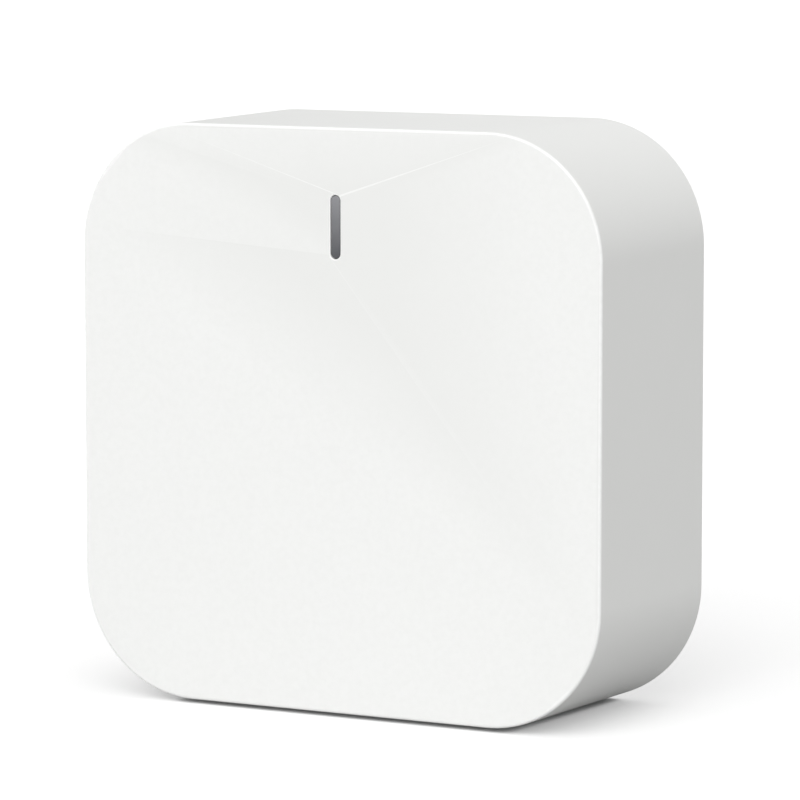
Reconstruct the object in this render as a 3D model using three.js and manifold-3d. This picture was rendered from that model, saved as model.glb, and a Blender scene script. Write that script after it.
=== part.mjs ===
// Smart home hub: a square, upright hub for a desk or shelf. A status light shows through a slot in its
// front face, and an Ethernet socket, a recessed USB-C power socket and a pairing button are in its back.
//
// Millimetres. The front face looks along -Y, +X is the right-hand side seen from the front, +Z is up.
// The origin is on the desk, under the middle of the case.

import * as THREE from "three";
import { mergeVertices } from "three/addons/utils/BufferGeometryUtils.js";
import Module from "manifold-3d";

// ---------------------------------------------------------------- Driving dimensions

// Case: a tub moulded in one piece with its front face, wider at the back by the mould's taper.
const CASE_WIDTH = 96; // at the back edge, where the tapered tub is widest
const CASE_HEIGHT = 96; // at the back edge
const CASE_DEPTH = 37.3;
const MOULD_TAPER = Math.tan(THREE.MathUtils.degToRad(0.78));
const CORNER_RADIUS = 20.2; // at the front face
const FRONT_EDGE_ROUND = 0.6;
const BACK_EDGE_ROUND = 0.7;
const FRONT_WALL = 2.4;
const SIDE_WALL = 2;
const INNER_EDGE_FILLET = 1.4;

// Rear cover: it lies in a rebate inside the case's back edge.
const RIM_WALL = 1.2; // what the rebate leaves of the side wall
const COVER_RECESS = 0.4; // from the back edge down to the cover
const COVER_THICKNESS = 2.2;
const COVER_GAP = 0.2; // all round the cover
const COVER_EDGE_ROUND = 0.4;
const LIP_WALL = 1.2; // the locating lip on the cover's inside
const LIP_HEIGHT = 3;

// Cover screws, each in a well of the cover and a boss of the tub.
const BOSS_FROM_SIDE = 12;
const BOSS_FROM_END = 16; // from the case's top and bottom
const BOSS_RADIUS = 3.3;
const WELL_DEPTH = 3; // from the cover's outer face down to the screw's seat
const WELL_RADIUS = 3;
const WELL_WALL = 1.2;
const WELL_FLOOR = 1.5;
const RIB_THICKNESS = 1.4;
const COVER_SCREW = { headRadius: 2.6, headHeight: 1.7, shankRadius: 1.2, length: 10 };

// Vents in the rear cover, a row above the sockets' level and a row at the bottom.
const VENT_WIDTH = 1.8;
const VENT_PITCH = 4;
const VENT_COUNT = 11;
const TOP_VENT_LENGTH = 12;
const TOP_VENT_FROM_TOP = 17;
const BOTTOM_VENT_LENGTH = 5;
const BOTTOM_VENT_FROM_BOTTOM = 11;

// Rating label, blank, in a shallow recess of the cover.
const LABEL_WIDTH = 44;
const LABEL_HEIGHT = 20;
const LABEL_CORNER = 1.5;
const LABEL_THICKNESS = 0.2;
const LABEL_RECESS = 0.3;

// Feet: two rubber strips in pockets under the tub.
const FOOT_WIDTH = 10;
const FOOT_LENGTH = 28;
const FOOT_THICKNESS = 1.1;
const FOOT_CORNER = 3;
const FOOT_FROM_SIDE = 27;
const FOOT_PROUD = 0.15; // below the case's back edge
const FOOT_GAP = 0.2; // round each strip

// Status light: a slot in the front wall, a light guide and the sleeve round it.
const SLOT_WIDTH = 1.9;
const SLOT_LENGTH = 10.4;
const SLOT_FROM_TOP = 16.5;
const LENS_GAP = 0.08; // between the slot and the lens
const LENS_RECESS = 0.12; // from the front face down to the lens
const GUIDE_FLANGE = 1.2; // how far the guide's flange reaches past the slot
const GUIDE_FLANGE_THICKNESS = 1;
const GUIDE_STEM_EXTRA = 0.5; // how far the stem behind the flange reaches past the slot
const SLEEVE_WALL = 1;
const LED_SIZE = 1.6;
const LED_HEIGHT = 0.8;
const LED_COUNT = 3;
const LED_PITCH = 3.4;
const LED_GAP = 0.5; // between the light guide and the light-emitting diodes

// Main board, upright and parallel to the front face.
const BOARD_THICKNESS = 1.6;
const BOARD_CORNER = 2;
const BOARD_FROM_END = 9; // from the case's top and bottom to the board's edges
const BOARD_CLEARANCE = 0.7; // to the cover bosses
const BOARD_SCREW_INSET = 4.5;
const BOARD_HOLE_GAP = 0.3; // round each screw
const POST_RADIUS = 2.8;
const BOARD_SCREW = { headRadius: 2.3, headHeight: 1.6, shankRadius: 1.1, length: 7.5 };

// Sockets and button, in one row across the back.
const PORTS_FROM_BOTTOM = 27.5;
const JACK_X = 15;
const JACK_WIDTH = 16;
const JACK_TALL = 13.4;
const JACK_LENGTH = 16.3; // from the board to the mouth
const JACK_RECESS = 0.3; // from the cover's outer face down to the mouth
const JACK_SHEET = 0.35;
const JACK_OPENING_GAP = 0.4;
const PLUG_WIDTH = 11.9; // the socket's hollow, for an 8-way modular plug
const PLUG_TOP = 4.1; // above and below the socket's axis
const PLUG_BOTTOM = -2.7;
const PLUG_DEPTH = 12.6;
const LATCH_WIDTH = 6.4;
const LATCH_DROP = 1.5;
const CONTACT_COUNT = 8;
const CONTACT_PITCH = 1.02;
const CONTACT_WIDTH = 0.5;
const CONTACT_THICKNESS = 0.35;
const CONTACT_DROP = 1.7; // from a contact's highest place to its root in the bar
const CONTACT_SETBACK = 3; // from the mouth to the contacts' ends
const CONTACT_BAR_LENGTH = 1.6;
const CONTACT_BAR_WALL = 0.3; // of the bar below the contacts
const CONTACT_BURIED = 0.4; // of each contact in the bar
const CONTACT_ROOM = 0.2; // from the bar to the hollow's sides and ceiling

const USB_X = -3.5;
const USB_WIDTH = 8.94;
const USB_TALL = 3.26;
const USB_SHEET = 0.3;
const USB_LENGTH = 10.5; // from the board to the mouth
const USB_PROUD = 0.2; // above the floor of its recess
const TONGUE_WIDTH = 6.69;
const TONGUE_TALL = 0.7;
const TONGUE_SETBACK = 0.6;
const TONGUE_BASE_DEPTH = 6.2; // from the mouth to the moulding that fills the shell
const TONGUE_STEP_LENGTH = 1.2;
const TONGUE_STEP_RISE = 0.3; // on each side of the tongue
const RECESS_WIDTH = 13.2; // clears the moulded grip of a USB-C plug
const RECESS_TALL = 7.4;
const RECESS_WALL = 1.2;

const BUTTON_X = -18.5;
const BUTTON_RADIUS = 3;
const BUTTON_PROUD = 0.2;
const BUTTON_GAP = 0.25;
const BUTTON_FLANGE_RADIUS = 4.3;
const BUTTON_FLANGE_THICKNESS = 1.2;
const BUTTON_STEM_RADIUS = 1.9;
const BUTTON_EDGE = 0.4; // taken off round the button's face
const BUTTON_FREE_PLAY = 0.25; // between the button's stem and the switch's plunger
const COLLAR_LENGTH = 6;
const COLLAR_WALL = 1.2;
const SWITCH_SIZE = 6;
const SWITCH_HEIGHT = 3.6;
const PLUNGER_RADIUS = 1.7;
const PLUNGER_PROUD = 1.5;
const PLUNGER_BURIED = 2; // length inside the switch
const PLUNGER_GAP = 0.1;
const PLUNGER_ROOM = 0.6; // under the plunger, more than its travel
const PLUNGER_EDGE = 0.2; // taken off round the plunger's end
const SWITCH_CORNER = 0.6;

// Processor, its heat sink and the chips beside it, on the board's front side.
const PROCESSOR_SIZE = 14;
const PROCESSOR_HEIGHT = 1.4;
const THERMAL_PAD_THICKNESS = 1;
const SINK_SIZE = 30;
const SINK_BASE = 2;
const SINK_FIN_THICKNESS = 1.2;
const SINK_FIN_COUNT = 8;
const SINK_FRONT_GAP = 5; // from the fins to the front wall
const SINK_LEG_INSET = 3;
const SINK_LEG_RADIUS = 2.2;
const SINK_SCREW = { headRadius: 1.9, headHeight: 1.3, shankRadius: 0.9, length: 5 };
const CHIP_GAP = 1.2; // between the heat sink and the chips beside it
const MEMORY_CHIP = { width: 8, height: 12, thickness: 1.1 };
const FLASH_CHIP = { width: 8, height: 10, thickness: 1.1 };
const CRYSTAL = { width: 3.2, height: 2.5, thickness: 0.8 };
const CRYSTAL_X = -6;
const CRYSTAL_DROP = 3; // below the heat sink's lower edge
const TRANSFORMER = { width: 9.4, height: 12.7, thickness: 5.6 };
const CONTROLLER = { width: 6, height: 6, thickness: 0.9 };

// Power parts, in a row along the bottom of the board.
const POWER_ROW_RISE = 8; // from the board's bottom edge to the inductors and capacitors
const INDUCTOR = { size: 6.4, height: 3.2, corner: 0.8 };
const TERMINAL_PROUD = 0.35; // past the inductor's sides
const TERMINAL_THICKNESS = 0.5;
const CAPACITOR = { canRadius: 3.15, canHeight: 5.8, footSize: 6.6, footHeight: 0.9 };
const CAN_EDGE = 0.3;
const CRIMP_RISE = 0.9; // from the capacitor's foot to the waist of its can
const CRIMP_HALF = 0.4; // half of the waist's length
const CRIMP_DEPTH = 0.35;

// Radio modules, on the board's back side, with an antenna on each side wall.
const MODULE_FROM_TOP = 5; // from the board's top edge
const MODULE_FROM_CENTRE = 1; // from the case's middle to the near side of each module
const MODULE_THICKNESS = 0.8;
const MODULE_CORNER = 0.6;
const WIFI_MODULE = { side: -1, width: 16, height: 20, shieldTall: 14 };
const MESH_MODULE = { side: 1, width: 14, height: 18, shieldTall: 12 };
const SHIELD_MARGIN = 0.8; // from the shield's sides to the module's edges
const SHIELD_HEIGHT = 2;
const SHIELD_SHEET = 0.25;
const COAX_SOCKET_SIZE = 2.6;
const COAX_SOCKET_HEIGHT = 0.7;
const COAX_PLUG_RADIUS = 1.2;
const COAX_PLUG_HEIGHT = 1.2;
const COAX_RADIUS = 0.55;
const COAX_END_GAP = 0.3;
const COAX_STRAIGHT = 5; // from the plug's axis to the lead's first bend
const COAX_EDGE_ROOM = 2.5; // between the board's edge and the lead's middle
const ANTENNA_LENGTH = 30;
const ANTENNA_WIDTH = 9;
const ANTENNA_THICKNESS = 0.9;
const ANTENNA_WALL_GAP = 0.3;
const ANTENNA_FEED_RISE = 10; // of the lead's end above the case's middle
const ANTENNA_BEHIND_BOARD = 1; // from the board's back face to the antennas

// Ballast: a steel plate on the tub's floor, which keeps the upright case from tipping.
const BALLAST_THICKNESS = 4.5;
const BALLAST_CORNER = 4;
const BALLAST_FROM_SIDE = 24;
const BALLAST_FROM_FRONT = 5.4;
const BALLAST_FROM_COVER = 5;
const BALLAST_LIFT = 0.25; // of its ribs above the floor's highest place
const BALLAST_BOSS_INSET = 6;
const BALLAST_BOSS_RADIUS = 2.5;
const BALLAST_HOLE_GAP = 0.3;
const BALLAST_SCREW = { headRadius: 3.3, headHeight: 1.4, shankRadius: 1.1, length: 4 };

// Fits
const SEAT_GAP = 0.05; // between faces that bear on each other
const THREAD_GAP = 0.05; // between a screw's shank and its pilot hole
const PILOT_EXTRA = 1; // of a pilot hole past the screw's tip

// Mesh fineness
const CORNER_STEPS = 10; // along each corner of the case
const ROUND_STEPS = 3; // across each rounded edge
const ROD_SIDES = 20;
const SCREW_SIDES = 12;
const SLOT_STEPS = 3;
const OVERCUT = 1; // how far a cutting tool runs past a face

// ---------------------------------------------------------------- Worked out from them

const CASE_FRONT = -CASE_DEPTH / 2;
const CASE_BACK = CASE_DEPTH / 2;
const CASE_MIDDLE = FOOT_PROUD + CASE_HEIGHT / 2;
const CASE_TOP = FOOT_PROUD + CASE_HEIGHT;
const INNER_FRONT = CASE_FRONT + FRONT_WALL;
const COVER_OUTER = CASE_BACK - COVER_RECESS;
const COVER_INNER = COVER_OUTER - COVER_THICKNESS;
const SCREW_SEAT = COVER_OUTER - WELL_DEPTH;
const WELL_END = SCREW_SEAT - WELL_FLOOR;
const BOSS_X = CASE_WIDTH / 2 - BOSS_FROM_SIDE;
const BOSS_RISE = CASE_HEIGHT / 2 - BOSS_FROM_END;

const JACK_MOUTH = COVER_OUTER - JACK_RECESS;
const BOARD_BACK = JACK_MOUTH - JACK_LENGTH - SEAT_GAP;
const BOARD_FRONT = BOARD_BACK - BOARD_THICKNESS;
const BOARD_HALF_WIDTH = BOSS_X - BOSS_RADIUS - BOARD_CLEARANCE;
const BOARD_HALF_HEIGHT = CASE_HEIGHT / 2 - BOARD_FROM_END;
const BOARD_TOP = CASE_MIDDLE + BOARD_HALF_HEIGHT;
const BOARD_BOTTOM = CASE_MIDDLE - BOARD_HALF_HEIGHT;
const BOARD_SCREW_X = BOARD_HALF_WIDTH - BOARD_SCREW_INSET;
const BOARD_SCREW_RISE = BOARD_HALF_HEIGHT - BOARD_SCREW_INSET;
const ON_FRONT = BOARD_FRONT - SEAT_GAP; // where pieces on the board's front side begin
const ON_BACK = BOARD_BACK + SEAT_GAP;

const SLOT_LEVEL = CASE_TOP - SLOT_FROM_TOP;
const PORTS_LEVEL = FOOT_PROUD + PORTS_FROM_BOTTOM;
const TOP_VENT_LEVEL = CASE_TOP - TOP_VENT_FROM_TOP;
const LABEL_LEVEL = (TOP_VENT_LEVEL - TOP_VENT_LENGTH / 2 + PORTS_LEVEL + JACK_TALL / 2) / 2;
const FOOT_X = CASE_WIDTH / 2 - FOOT_FROM_SIDE;
const SINK_LEG_OFFSET = SINK_SIZE / 2 - SINK_LEG_INSET;

// Four places, named clockwise from the top left seen from the front.
const FOUR_CORNERS = [
  { name: "top_left", sideX: -1, sideZ: 1 },
  { name: "top_right", sideX: 1, sideZ: 1 },
  { name: "bottom_right", sideX: 1, sideZ: -1 },
  { name: "bottom_left", sideX: -1, sideZ: -1 },
];

// ---------------------------------------------------------------- Finishes

const FINISH = {
  whitePlastic: { color: 0xf2f3f1, roughness: 0.45, metalness: 0 },
  smokedLens: { color: 0x7d7e83, roughness: 0.25, metalness: 0 },
  blackPlastic: { color: 0x1c1c1e, roughness: 0.5, metalness: 0 },
  rubber: { color: 0x8b8c8c, roughness: 0.85, metalness: 0 },
  paperLabel: { color: 0xe9eae8, roughness: 0.6, metalness: 0 },
  boardLaminate: { color: 0x1f5a3a, roughness: 0.45, metalness: 0 },
  moduleLaminate: { color: 0x1d3f6b, roughness: 0.45, metalness: 0 },
  chipResin: { color: 0x242526, roughness: 0.6, metalness: 0 },
  ferrite: { color: 0x3a3a3c, roughness: 0.7, metalness: 0 },
  ledResin: { color: 0xf0e9c8, roughness: 0.35, metalness: 0 },
  thermalPad: { color: 0x9fb3c4, roughness: 0.9, metalness: 0 },
  coaxSheath: { color: 0x2b2b2d, roughness: 0.55, metalness: 0 },
  aluminium: { color: 0xc4c6c8, roughness: 0.4, metalness: 1 },
  tinnedSteel: { color: 0xb9babb, roughness: 0.35, metalness: 1 },
  blackedSteel: { color: 0x3b3c3f, roughness: 0.45, metalness: 1 },
  gold: { color: 0xd6aa50, roughness: 0.3, metalness: 1 },
};

// ---------------------------------------------------------------- Shapes

const wasm = await Module();
wasm.setup();

// A closed geometry as a manifold-3d solid.
function solidOf(geometry) {
  const bare = geometry.clone();
  bare.deleteAttribute("normal");
  bare.deleteAttribute("uv");
  const merged = mergeVertices(bare);
  const vertProperties = new Float32Array(merged.attributes.position.array);
  const triVerts = new Uint32Array(merged.index.array);
  return new wasm.Manifold(new wasm.Mesh({ numProp: 3, vertProperties, triVerts }));
}

// The added geometries as one body, with the removed ones cut out of it.
function build(added, removed = []) {
  const whole = added.map(solidOf).reduce((all, solid) => all.add(solid));
  const carved = removed.map(solidOf).reduce((all, solid) => all.subtract(solid), whole);
  const mesh = carved.getMesh();
  const geometry = new THREE.BufferGeometry();
  geometry.setAttribute("position", new THREE.BufferAttribute(mesh.vertProperties, 3));
  geometry.setIndex(new THREE.BufferAttribute(mesh.triVerts, 1));
  geometry.computeVertexNormals();
  return geometry;
}

// Points round a rounded rectangle that faces along Y, anticlockwise seen from the front.
function ring({ y, z = 0, halfWidth, halfHeight, radius, steps = 2 }) {
  const quarter = Math.PI / 2;
  const arcCentres = [
    [halfWidth - radius, z + halfHeight - radius],
    [-halfWidth + radius, z + halfHeight - radius],
    [-halfWidth + radius, z - halfHeight + radius],
    [halfWidth - radius, z - halfHeight + radius],
  ];
  return arcCentres.flatMap(([centreX, centreZ], corner) =>
    Array.from({ length: steps + 1 }, (_, step) => {
      const angle = quarter * (corner + step / steps);
      return [centreX + radius * Math.cos(angle), y, centreZ + radius * Math.sin(angle)];
    }),
  );
}

// A closed body through rings that follow each other from front to back.
function loft(rings) {
  const count = rings[0].length;
  const average = (points, axis) => points.reduce((sum, point) => sum + point[axis], 0) / count;
  const middle = (points) => [0, 1, 2].map((axis) => average(points, axis));
  const positions = [...rings.flat(), middle(rings[0]), middle(rings.at(-1))].flat();
  const frontMiddle = rings.length * count;
  const backMiddle = frontMiddle + 1;
  const lastRing = (rings.length - 1) * count;
  const index = [];
  for (let i = 0; i < count; i++) {
    const next = (i + 1) % count;
    index.push(frontMiddle, i, next);
    index.push(backMiddle, lastRing + next, lastRing + i);
    for (let start = 0; start < lastRing; start += count) {
      index.push(start + i, start + count + i, start + count + next);
      index.push(start + i, start + count + next, start + next);
    }
  }
  const geometry = new THREE.BufferGeometry();
  geometry.setAttribute("position", new THREE.Float32BufferAttribute(positions, 3));
  geometry.setIndex(index);
  return geometry;
}

// A ring on the tub's tapered outside at depth y, or that far inside it.
function caseRing(y, inset) {
  const taper = (CASE_BACK - y) * MOULD_TAPER;
  return ring({
    y,
    z: CASE_MIDDLE,
    halfWidth: CASE_WIDTH / 2 - taper - inset,
    halfHeight: CASE_HEIGHT / 2 - taper - inset,
    radius: CORNER_RADIUS + (y - CASE_FRONT) * MOULD_TAPER - inset,
    steps: CORNER_STEPS,
  });
}

// Rings round an edge, from the face (at 0) to the side (at 1); direction is +1 behind a front face.
function edgeRings(faceY, round, direction, inset = 0) {
  return Array.from({ length: ROUND_STEPS + 1 }, (_, step) => {
    const angle = ((step / ROUND_STEPS) * Math.PI) / 2;
    const depth = round * (1 - Math.cos(angle));
    return caseRing(faceY + direction * depth, inset + round * (1 - Math.sin(angle)));
  });
}

function roundedShape(x, z, width, height, radius) {
  const left = x - width / 2 + radius;
  const right = x + width / 2 - radius;
  const bottom = z - height / 2 + radius;
  const top = z + height / 2 - radius;
  const quarter = Math.PI / 2;
  const shape = new THREE.Shape();
  shape.absarc(right, top, radius, 0, quarter);
  shape.absarc(left, top, radius, quarter, 2 * quarter);
  shape.absarc(left, bottom, radius, 2 * quarter, 3 * quarter);
  shape.absarc(right, bottom, radius, 3 * quarter, 4 * quarter);
  return shape;
}

// A slot outline with round ends, along the longer of its two sides.
function slotShape(x, z, width, height) {
  const radius = Math.min(width, height) / 2;
  const alongX = width / 2 - radius;
  const alongZ = height / 2 - radius;
  const turn = width > height ? -Math.PI / 2 : 0;
  const shape = new THREE.Shape();
  shape.absarc(x + alongX, z + alongZ, radius, turn, turn + Math.PI);
  shape.absarc(x - alongX, z - alongZ, radius, turn + Math.PI, turn + 2 * Math.PI);
  return shape;
}

// An outline in X and Z, extruded along Y.
function slab(shape, yFrom, yTo, curveSegments = SLOT_STEPS) {
  const depth = yTo - yFrom;
  const geometry = new THREE.ExtrudeGeometry(shape, { depth, bevelEnabled: false, curveSegments });
  return geometry.rotateX(Math.PI / 2).translate(0, yTo, 0);
}

// An outline in X and Y, extruded along Z.
function upright(shape, zFrom, zTo, curveSegments = SLOT_STEPS) {
  const depth = zTo - zFrom;
  const geometry = new THREE.ExtrudeGeometry(shape, { depth, bevelEnabled: false, curveSegments });
  return geometry.translate(0, 0, zFrom);
}

function rod(radius, yFrom, yTo, x = 0, z = 0, sides = ROD_SIDES) {
  const geometry = new THREE.CylinderGeometry(radius, radius, yTo - yFrom, sides);
  return geometry.translate(x, (yFrom + yTo) / 2, z);
}

function pillar(radius, zFrom, zTo, x, y, sides = ROD_SIDES) {
  const geometry = new THREE.CylinderGeometry(radius, radius, zTo - zFrom, sides);
  return geometry.rotateX(Math.PI / 2).translate(x, y, (zFrom + zTo) / 2);
}

function block(xFrom, xTo, yFrom, yTo, zFrom, zTo) {
  const geometry = new THREE.BoxGeometry(xTo - xFrom, yTo - yFrom, zTo - zFrom);
  return geometry.translate((xFrom + xTo) / 2, (yFrom + yTo) / 2, (zFrom + zTo) / 2);
}

// A profile of [radius, y] pairs, from the axis and back to it, turned about Y.
function turned(profile, sides = ROD_SIDES) {
  const points = profile.map(([radius, y]) => new THREE.Vector2(radius, y));
  return new THREE.LatheGeometry(points, sides);
}

// A moulded chip-like body on the board, with the edges of its top face taken off.
function moulded({ width, height, from, to, chamfer = 0.2, corner = 0.3 }) {
  const side = { halfWidth: width / 2, halfHeight: height / 2, radius: corner };
  const face = {
    halfWidth: width / 2 - chamfer,
    halfHeight: height / 2 - chamfer,
    radius: corner,
  };
  if (to > from) {
    return loft([ring({ ...side, y: from }), ring({ ...side, y: to - chamfer }), ring({ ...face, y: to })]);
  }
  return loft([ring({ ...face, y: to }), ring({ ...side, y: to + chamfer }), ring({ ...side, y: from })]);
}

// ---------------------------------------------------------------- The scene graph

function addMesh(group, name, geometry, finish, place = [0, 0, 0]) {
  const mesh = new THREE.Mesh(geometry, new THREE.MeshStandardMaterial(finish));
  mesh.name = name;
  mesh.position.set(...place);
  group.add(mesh);
  return mesh;
}

function addGroup(parent, name) {
  const group = new THREE.Group();
  group.name = name;
  parent.add(group);
  return group;
}

// A pan-head screw about Y, its head's seat at the origin and its shank towards -Y, with a cross recess.
function screwGeometry({ headRadius, headHeight, shankRadius, length }) {
  const crownRadius = headRadius * 0.7;
  const shoulder = headHeight * 0.55;
  const tip = shankRadius * 0.8;
  const profile = [
    [0, -length],
    [shankRadius - tip / 2, -length],
    [shankRadius, -length + tip],
    [shankRadius, 0],
    [headRadius, 0],
    [headRadius, shoulder],
    [crownRadius, headHeight],
    [0, headHeight],
  ];
  const recessHalf = headRadius * 0.55;
  const recessWidth = headRadius * 0.12;
  const recessDepth = headHeight * 0.6;
  const floor = headHeight - recessDepth;
  const top = headHeight + OVERCUT;
  return build(
    [turned(profile, SCREW_SIDES)],
    [
      block(-recessHalf, recessHalf, floor, top, -recessWidth, recessWidth),
      block(-recessWidth, recessWidth, floor, top, -recessHalf, recessHalf),
    ],
  );
}

// The pilot hole for a screw whose boss ends at faceY.
function pilotHole(screw, seatY, faceY, x, z) {
  const radius = screw.shankRadius + THREAD_GAP;
  return rod(radius, seatY - screw.length - PILOT_EXTRA, faceY + OVERCUT, x, z, SCREW_SIDES);
}

// ---------------------------------------------------------------- Case

// A boss for a cover screw, with a rib to the side wall and one to the end wall.
function coverBoss({ sideX, sideZ }) {
  const x = sideX * BOSS_X;
  const z = CASE_MIDDLE + sideZ * BOSS_RISE;
  const top = WELL_END - SEAT_GAP;
  const ribTop = COVER_INNER - LIP_HEIGHT - OVERCUT;
  const start = INNER_FRONT - FRONT_WALL / 2;
  const half = RIB_THICKNESS / 2;
  const wallX = sideX * (CASE_WIDTH / 2 - SIDE_WALL - CASE_DEPTH * MOULD_TAPER + half);
  const cornerRise = CORNER_RADIUS - BOSS_FROM_SIDE;
  const endInset = CORNER_RADIUS - Math.sqrt(CORNER_RADIUS ** 2 - cornerRise ** 2) + SIDE_WALL;
  const wallZ = CASE_MIDDLE + sideZ * (CASE_HEIGHT / 2 - endInset - CASE_DEPTH * MOULD_TAPER + half);
  return [
    rod(BOSS_RADIUS, start, top, x, z),
    block(Math.min(x, wallX), Math.max(x, wallX), start, ribTop, z - half, z + half),
    block(x - half, x + half, start, ribTop, Math.min(z, wallZ), Math.max(z, wallZ)),
  ];
}

function boardPost({ sideX, sideZ }) {
  const x = sideX * BOARD_SCREW_X;
  const z = CASE_MIDDLE + sideZ * BOARD_SCREW_RISE;
  return rod(POST_RADIUS, INNER_FRONT - FRONT_WALL / 2, ON_FRONT, x, z);
}

// The tub's floor inside, at its highest place, is at the front, where the taper lifts it most.
const FLOOR_HIGH = FOOT_PROUD + CASE_DEPTH * MOULD_TAPER + SIDE_WALL;
const BALLAST_BOTTOM = FLOOR_HIGH + BALLAST_LIFT;
const BALLAST_TOP = BALLAST_BOTTOM + BALLAST_THICKNESS;
const BALLAST_HALF_LENGTH = CASE_WIDTH / 2 - BALLAST_FROM_SIDE;
const BALLAST_FRONT = CASE_FRONT + BALLAST_FROM_FRONT;
const BALLAST_BACK = COVER_INNER - BALLAST_FROM_COVER;
const BALLAST_SCREW_X = BALLAST_HALF_LENGTH - BALLAST_BOSS_INSET;
const BALLAST_SCREW_Y = BALLAST_FRONT + BALLAST_BOSS_INSET;

// Ribs that carry the ballast plate, and the two bosses that its screws go into.
function ballastSeat() {
  const root = FLOOR_HIGH - SIDE_WALL / 2;
  const ribs = [-1, 0, 1].map((side) => {
    const x = (side * BALLAST_HALF_LENGTH) / 2;
    const half = RIB_THICKNESS / 2;
    return block(x - half, x + half, BALLAST_FRONT, BALLAST_BACK, root, BALLAST_BOTTOM - SEAT_GAP);
  });
  const bosses = [-1, 1].map((side) =>
    pillar(BALLAST_BOSS_RADIUS, root, BALLAST_TOP - SEAT_GAP, side * BALLAST_SCREW_X, BALLAST_SCREW_Y),
  );
  return [...ribs, ...bosses];
}

function frontShell() {
  const outside = loft([
    ...edgeRings(CASE_FRONT, FRONT_EDGE_ROUND, 1),
    ...edgeRings(CASE_BACK, BACK_EDGE_ROUND, -1).reverse(),
  ]);
  const hollow = loft([
    caseRing(INNER_FRONT, SIDE_WALL + INNER_EDGE_FILLET),
    caseRing(INNER_FRONT + INNER_EDGE_FILLET, SIDE_WALL),
    caseRing(CASE_BACK + OVERCUT, SIDE_WALL),
  ]);
  const rebate = loft([
    caseRing(COVER_INNER - SEAT_GAP, RIM_WALL),
    caseRing(CASE_BACK + OVERCUT, RIM_WALL),
  ]);
  const slot = slab(
    slotShape(0, SLOT_LEVEL, SLOT_WIDTH, SLOT_LENGTH),
    CASE_FRONT - OVERCUT,
    INNER_FRONT + OVERCUT,
    2 * SLOT_STEPS,
  );
  const pockets = [-1, 1].map((side) =>
    upright(
      roundedShape(
        side * FOOT_X,
        0,
        FOOT_WIDTH + 2 * FOOT_GAP,
        FOOT_LENGTH + 2 * FOOT_GAP,
        FOOT_CORNER + FOOT_GAP,
      ),
      -OVERCUT,
      FOOT_THICKNESS + SEAT_GAP,
    ),
  );
  const coverPilots = FOUR_CORNERS.map(({ sideX, sideZ }) =>
    pilotHole(COVER_SCREW, SCREW_SEAT, WELL_END, sideX * BOSS_X, CASE_MIDDLE + sideZ * BOSS_RISE),
  );
  const boardPilots = FOUR_CORNERS.map(({ sideX, sideZ }) =>
    pilotHole(
      BOARD_SCREW,
      BOARD_BACK,
      BOARD_FRONT,
      sideX * BOARD_SCREW_X,
      CASE_MIDDLE + sideZ * BOARD_SCREW_RISE,
    ),
  );
  const ballastPilots = [-1, 1].map((side) =>
    pillar(
      BALLAST_SCREW.shankRadius + THREAD_GAP,
      BALLAST_TOP - BALLAST_SCREW.length - SEAT_GAP,
      BALLAST_TOP + OVERCUT,
      side * BALLAST_SCREW_X,
      BALLAST_SCREW_Y,
      SCREW_SIDES,
    ),
  );
  const tub = build([outside], [hollow, rebate]);
  return build(
    [tub, ...FOUR_CORNERS.flatMap(coverBoss), ...FOUR_CORNERS.map(boardPost), ...ballastSeat()],
    [slot, ...pockets, ...coverPilots, ...boardPilots, ...ballastPilots],
  );
}

function foot() {
  return upright(roundedShape(0, 0, FOOT_WIDTH, FOOT_LENGTH, FOOT_CORNER), 0, FOOT_THICKNESS);
}

// ---------------------------------------------------------------- Rear cover

const USB_MOUTH = ON_BACK + USB_LENGTH;
const RECESS_FLOOR = USB_MOUTH - USB_PROUD;
const BUTTON_HOLE_RADIUS = BUTTON_RADIUS + BUTTON_GAP;
const COLLAR_RADIUS = BUTTON_FLANGE_RADIUS + BUTTON_GAP;

// A row of upright vent slots through the cover, their middles at height z.
function ventRow(length, z) {
  return Array.from({ length: VENT_COUNT }, (_, i) => {
    const x = (i - (VENT_COUNT - 1) / 2) * VENT_PITCH;
    return slab(slotShape(x, z, VENT_WIDTH, length), COVER_INNER - OVERCUT, COVER_OUTER + OVERCUT);
  });
}

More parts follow.
